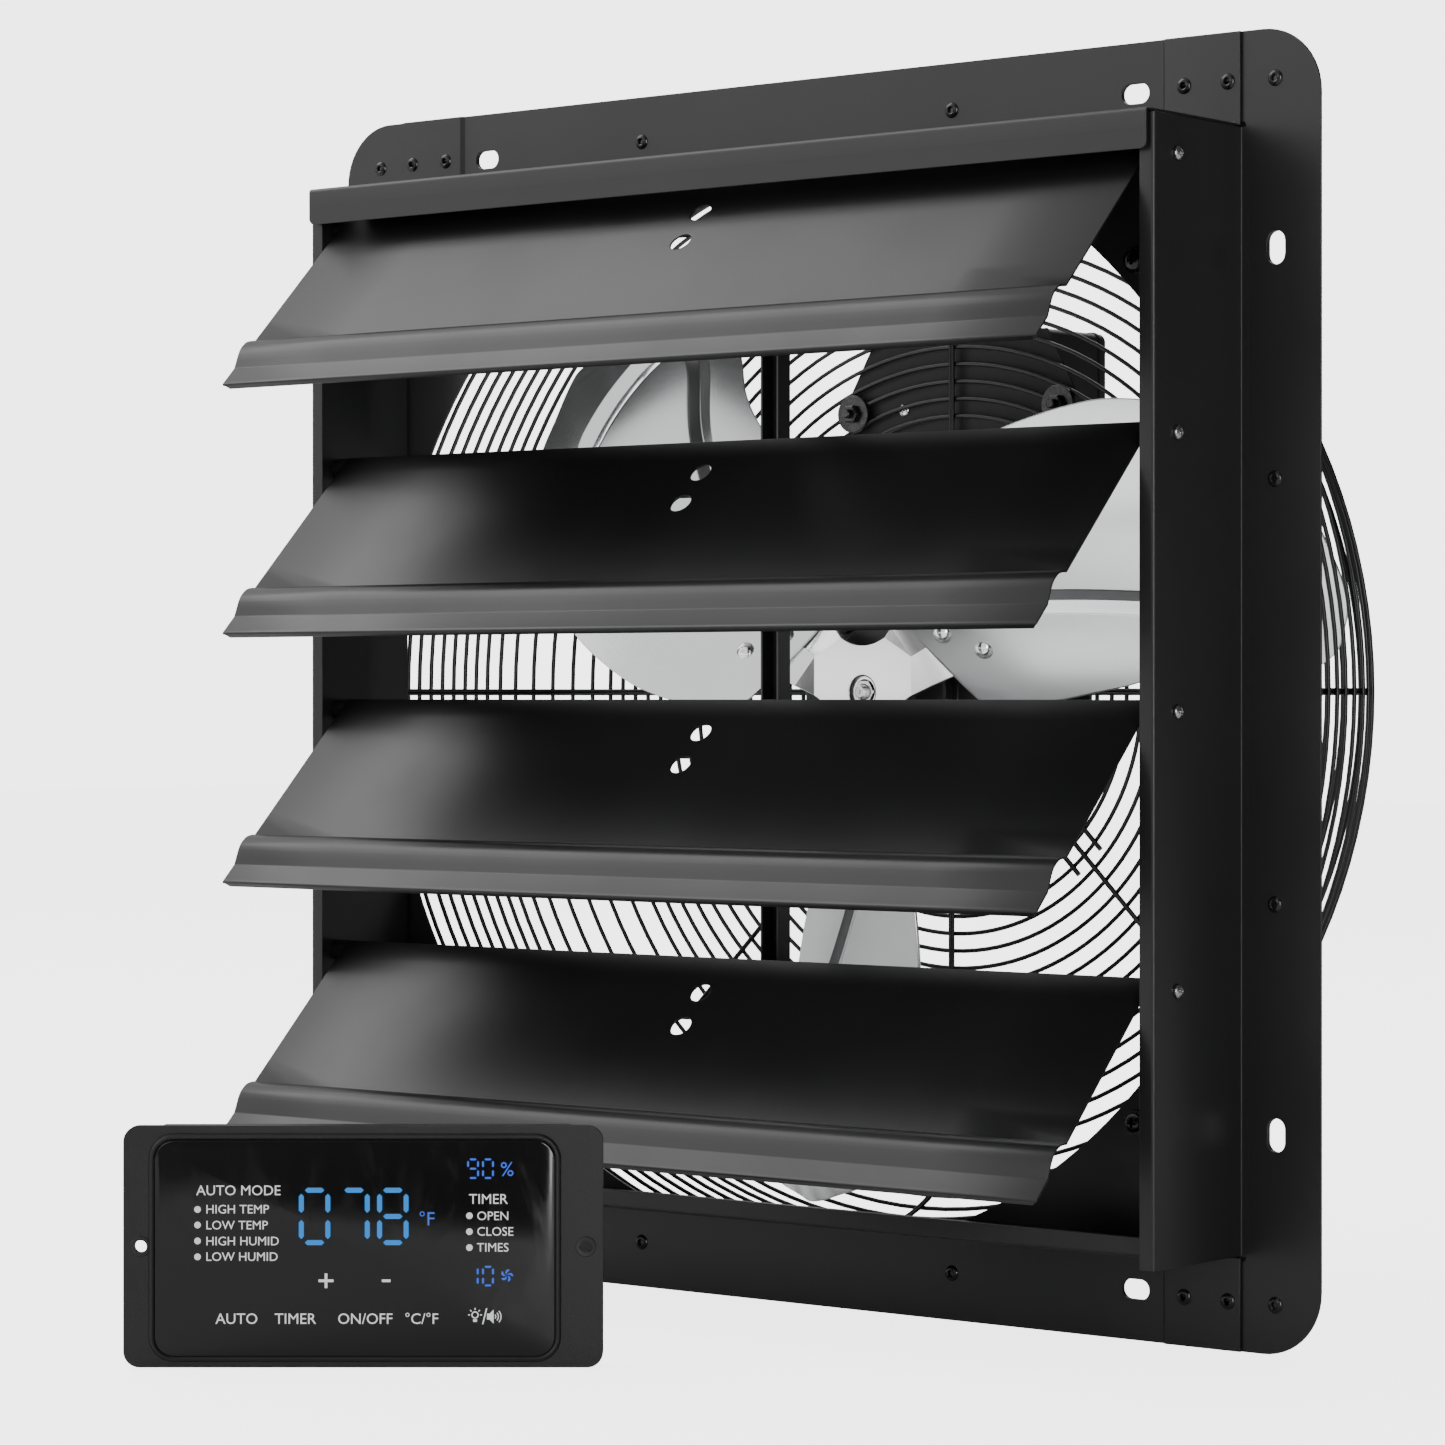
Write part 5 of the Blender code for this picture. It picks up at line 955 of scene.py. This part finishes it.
def junction_box():
    """Wiring box behind the guard: body, lid with a lip and four screws, clamp plate and bolts."""
    front, low, high, half, deep = 137.5, 128.0, 181.0, 52.3, 54.5
    middle, tall = (low + high) / 2, (high - low) / 2
    sections = ((1.2, 0), (0, 1.2), (0, deep - 8), (-0.6, deep - 7.6), (-0.6, deep - 6.0), (0, deep - 5.6),
                (0, deep - 1.8), (0.6, deep - 0.6), (2.0, deep))
    shape = soft_block(sections, half, tall, 4, Matrix.Translation((0, front, middle)), 7)
    for sx, sz in CORNERS:
        shape.join(screw_head(3.2, 0.9, (sx * 43, front + deep - 0.1, middle + sz * 19.5), BACKWARD, 0.8))
    piece("junction_box", shape, "box", "frame", bevel=0.3, angle=30)
    outline = [(-68, 130.5), (71, 130.5), (71, 150.5), (54.5, 180.5), (-51, 180.5), (-68, 150.5)]
    piece("clamp_plate", plate([outline], 1.2, upright(135.9)), "clamp", "frame", bevel=0.2)
    piece("clamp_screw", screw_head(3.0, 1.9, (-33, 135.4, 143), FORWARD), "rivet", "frame", angle=30)
    washer = [(0, 0), (9.3, 0), (9.6, 0.3), (9.6, 1.1), (9.2, 1.4), (0, 1.4)]
    nut = [(0, 0), (4.7, 0), (4.9, 0.4), (4.9, 2.7), (4.1, 3.3), (0, 3.3)]
    stud = [(0, 0), (2.4, 0), (2.4, 2.6), (1.8, 3.2), (0, 3.2)]
    for name, x in (("clamp_bolt_left", -61.6), ("clamp_bolt_right", 64.6)):
        shape = lathe(washer, 48, (x, 130.75, 142), FORWARD)
        shape.join(lathe(nut, 6, (x, 129.35, 142), FORWARD)).join(lathe(stud, 20, (x, 126.15, 142), FORWARD))
        shape.join(drum(2.2, 11, 20, (x, 130.75, 142))).join(drum(4.5, 3, 6, (x, 136.8, 142)))
        piece(name, shape, "dark_steel", "frame", angle=30)


# Controller


CONTROLLER = Matrix.Translation((-20, -277.5, -240.6)) @ Matrix.Rotation(radians(38.7), 4, "Z")
PANEL_SHIFT = -3.6


def controller():
    """Controller case with eared plate, raised frame, glass, back body and cover."""
    loops = [rounded(104, 52.4, 7, 12)] + [circle((side * 96.5, 0), 2.7, 28) for side in SIDES]
    ears = plate(loops, 4, upright(2)).move(CONTROLLER)
    piece("controller_ears", ears, "case", "controller", replaced="controller_housing", bevel=0.9, segments=3)
    rim, collar = Shape(), [(2.75, -0.25), (2.75, 0.4), (4.3, 0.3), (4.5, -0.1), (4.2, -0.35)]
    for side in SIDES:
        rim.join(lathe(collar, 40, (side * 96.5, 0, 0), closed=True))
    sections = ((2.6, 0.6), (2.55, -0.7), (2.3, -1.35), (1.6, -1.75), (0.9, -1.6), (0.3, -0.9), (0, 0.2),
                (0, 0.9))
    raised = Shape().grid(layers(sections, 89.45, 49.55, 11, 12), wrap=True)
    rim.join(raised.move(Matrix.Translation((PANEL_SHIFT, 0, -0.45))))
    piece("controller_frame", rim.move(CONTROLLER), "case", "controller", angle=40)
    middle = CONTROLLER @ Matrix.Translation((PANEL_SHIFT, 0, -0.8))
    glass = soft_block(((1.0, -0.95), (0.35, -0.8), (0, -0.35), (0, 0.9)), 87.1, 47.2, 9, middle)
    piece("controller_panel", glass, "glass", "controller", angle=40)
    body = soft_block(((0, 3.0), (0, 19.4), (0.6, 20.0)), 91.5, 51.1, 4, CONTROLLER)
    piece("controller_body", body, "case", "controller", bevel=0.3)
    cover = soft_block(((0.5, 20.3), (0, 20.8), (0, 21.9), (0.9, 22.8)), 91.5, 51.1, 4, CONTROLLER)
    for sx, sz in CORNERS:
        place = CONTROLLER @ Vector((sx * 84, 22.7, sz * 44))
        cover.join(screw_head(2.8, 0.9, place, CONTROLLER.to_3x3() @ Vector(BACKWARD), 0.8))
    piece("controller_back_cover", cover, "case", "controller")


# Marks are laid out in the units of a drawing of the panel: one unit is PIXEL millimetres.
PIXEL = 0.1436
MARK_DEPTH = -0.985


def spot(x, y):
    """Place on the panel, from its middle, of a point of the drawing."""
    return (x - 746) * PIXEL, (392 - y) * PIXEL


def mark(*loops):
    """Thin raised marking on the glass."""
    loops = [[spot(*point) for point in loop] for loop in loops]
    return plate(loops, 0.06, upright(MARK_DEPTH)).move(CONTROLLER)


# Segments of a digit by their two ends, each a column and a half row, and those that each digit lights
SEGMENTS = {"a": (0, 0, 1, 0), "b": (1, 0, 1, 1), "c": (1, 1, 1, 2), "d": (0, 2, 1, 2), "e": (0, 1, 0, 2),
            "f": (0, 0, 0, 1), "g": (0, 1, 1, 1)}
DIGITS = {"0": "abcdef", "1": "bc", "7": "abc", "8": "abcdefg", "9": "abcdfg"}


def digit(symbol, x, y, width, height, stroke):
    """Seven-segment digit: six-cornered bars with small gaps."""
    shape, half = Shape(), stroke / 2
    for key in DIGITS[symbol]:
        ends = np.array(SEGMENTS[key]).reshape(2, 2) * (width, height / 2) + (x, y)
        run = unit(ends[1] - ends[0])
        side = aside(run)
        start, stop = ends[0] + run * half * 1.25, ends[1] - run * half * 1.25
        ahead, back = (side + run) * half * 0.9, (side - run) * half * 0.9
        shape.join(mark([start, start + ahead, stop + back, stop, stop - ahead, start - back]))
    return shape


def lettering(text, x, y, height):
    """Generic word or unit in the plain built-in typeface; x is its left edge and y its base line."""
    curve = bpy.data.curves.new("word", "FONT")
    curve.body = text
    curve.size = height * PIXEL * MM / 0.72
    curve.extrude = 0.03 * MM
    curve.resolution_u = 3
    mesh = filled(curve)
    points = np.array([vert.co[:] for vert in mesh.vertices]) / MM
    faces = [list(face.vertices) for face in mesh.polygons]
    px, pz = spot(x, y)
    return Shape().add(points, faces).move(CONTROLLER @ Matrix.Translation((px, 0, pz)) @ upright(MARK_DEPTH))


def bar(x0, y0, x1, y1):
    return mark([(x0, y0), (x1, y0), (x1, y1), (x0, y1)])


# Words on the panel by the height of their letters: word, left edge and base line
WORDS = {
    33: (("AUTO", 301, 624), ("TIMER", 479, 624), ("ON/OFF", 669, 624), ("°C/°F", 871, 624)),
    27: (("HIGH TEMP", 271, 291), ("LOW TEMP", 271, 339), ("HIGH HUMID", 271, 387), ("LOW HUMID", 271, 434),
         ("OPEN", 1089, 311), ("CLOSE", 1089, 358), ("TIMES", 1089, 406)),
    31: (("AUTO MODE", 243, 236), ("TIMER", 1065, 262)),
}


def controller_marks():
    """Lit digits, units and plain switch words."""
    blue = Shape()
    for symbol, x in (("0", 560), ("7", 679), ("8", 796)):
        blue.join(digit(symbol, x, 221, 80, 158, 17))
    piece("digits_large", blue, "blue", "controller")
    small = Shape()
    for symbol, x, y in (("9", 1063, 128), ("0", 1108, 128), ("1", 1062, 452), ("0", 1108, 452)):
        small.join(digit(symbol, x, y, 30, 56, 7))
    small.join(lettering("%", 1160, 178, 44))
    small.join(lettering("°F", 913, 327, 42))
    for turn in 0.4 + turns(5):
        leaf = [turned(20 * share, 0, turn + 0.9 * share + lean) for share, lean in
                ((0.12, -0.3), (0.5, -0.45), (0.85, -0.35), (1, 0.0), (0.85, 0.25), (0.45, 0.2))]
        small.join(mark([(1180 + x, 478 + y) for x, y in leaf]))
    piece("digits_small", small, "violet", "controller")
    white = Shape()
    for height, words in WORDS.items():
        for word, x, y in words:
            white.join(lettering(word, x, y, height))
    for x, y in ((247, 279), (247, 326), (247, 374), (247, 422), (1067, 298), (1067, 346), (1067, 394)):
        white.join(mark(circle((x, y), 10, 24)))
    for corners in ((612, 490, 657, 498), (630.5, 472, 638.5, 489.5), (630.5, 498.5, 638.5, 516),
                    (803, 490, 829, 498), (1078, 610, 1090, 618)):
        white.join(bar(*corners))
    lamp_x, lamp_y = 1084, 597
    white.join(mark(circle((lamp_x, lamp_y), 11, 27), circle((lamp_x, lamp_y), 7.5, 27)))
    for angle in np.linspace(pi, tau, 5):
        ray = [turned(*point, angle) for point in ((15, 1.6), (21, 1.6), (21, -1.6), (15, -1.6))]
        white.join(mark([(lamp_x + x, lamp_y + y) for x, y in ray]))
    white.join(mark([(1117, 577), (1121, 577), (1109, 625), (1105, 625)]))
    white.join(mark([(1120, 593), (1128, 593), (1140, 581), (1140, 623), (1128, 611), (1120, 611)]))
    for radius in (10, 18, 26):
        wave = arc((1138, 602), radius, -0.75, 0.75, 9) + arc((1138, 602), radius - 3, 0.75, -0.75, 9)
        white.join(mark(wave))
    piece("panel_marks", white, "white", "controller")


# Carried-over CAD pieces, camera and light


def dress_frame():
    """Give every CAD node that stays the first look of its slot, and the link arms that of the louvers."""
    first = {}
    for material, slot in LOOKS.values():
        first.setdefault(slot, material)
    slots = {entry["node"]: entry["material_slot"] for entry in frame["record"]["subparts"]}
    for node, made in frame["nodes"].items():
        material = LOOKS["louver"][0] if node.startswith("link_arm") else first[slots[node]]
        for slot in made.material_slots:
            slot.material = material


# Lamps, in metres: name, place, the point each looks at, width, height and power
LAMPS = (
    ("front_left", (-2.1, -2.6, 1.2), (0, 0, 0), 1.8, 1.5, 9),
    ("top_left", (-2.3, -0.9, 2.45), (0, 0, 0), 2.3, 2.2, 44),
    ("front", (0.3, -3.2, 1.2), (0, 0, 0), 1.8, 1.2, 8),
    ("rim", (-0.6, 2.4, 1.8), (0, 0, 0), 1.6, 1.0, 14),
    ("strip", (2.6, -2.1, 0.2), (0, 0, 0), 0.7, 2.6, 60),
    ("inside_left", (-0.12, -0.03, 0.09), (-0.12, 1, 0.09), 0.24, 0.31, 0.26),
    ("inside_right", (0.135, -0.03, -0.01), (0.135, 1, -0.01), 0.17, 0.27, 0.14),
)


def studio():
    """Pale floor, soft lights and the camera at the photograph's place, in metres."""
    size, ground = 9.0, -0.2936
    floor = bpy.data.meshes.new("floor")
    floor.from_pydata([(sx * size, sz * size, ground) for sx, sz in CORNERS], [], [(0, 2, 3, 1)])
    floor.materials.append(floor_paint())
    things = [put("floor", floor)]
    for name, place, target, width, height, power in LAMPS:
        light = bpy.data.lights.new(name, "AREA")
        light.shape = "RECTANGLE"
        light.size, light.size_y = width, height
        light.energy = power
        lamp = put(name, light)
        lamp.location = place
        lamp.rotation_euler = (Vector(target) - Vector(place)).to_track_quat("-Z", "Y").to_euler()
        lamp.visible_camera = False
        things.append(lamp)
    world = bpy.data.worlds.new("studio")
    bpy.context.scene.world = world
    graph = Graph(world)
    view = graph.node("ShaderNodeTexCoord", output="Generated")
    bright_side = Vector((-0.85, -0.35, 0.40)).normalized()
    facing = graph.node("ShaderNodeVectorMath", {"operation": "DOT_PRODUCT"}, "Value",
                        {0: view, 1: bright_side})
    room = graph.node("ShaderNodeBackground", Color=(1, 1, 1), Strength=facing.ramp(-0.2, 0.9, 0.08, 0.95))
    backdrop = graph.node("ShaderNodeBackground", Color=(1, 1, 1), Strength=4.0)
    seen = graph.node("ShaderNodeLightPath", output="Is Camera Ray")
    blend = graph.node("ShaderNodeMixShader", inputs={0: seen, 1: room, 2: backdrop})
    graph.feed(graph.tree.nodes["World Output"].inputs["Surface"], blend)
    camera = bpy.data.cameras.new("camera")
    camera.lens = 110.26
    camera.sensor_width = 36
    camera.shift_y = -0.0182
    camera.clip_start = 0.05
    viewer = put("camera", camera)
    viewer.location = (1.3012, -1.6760, -0.0021)
    viewer.rotation_euler = (pi / 2, 0, radians(38.73))
    bpy.context.scene.camera = viewer


side_panel("left_panel", -1)
side_panel("right_panel", 1)
top_panel()
bottom_panel()
back_panel()
flange_rivets()
for number in range(4):
    louver(number)
    pivot_screws(number)
for number in range(3):
    blade(number)
hub()
wheel_centre()
motor()
guard()
guard_bolts()
junction_box()
controller()
controller_marks()
dress_frame()
studio()
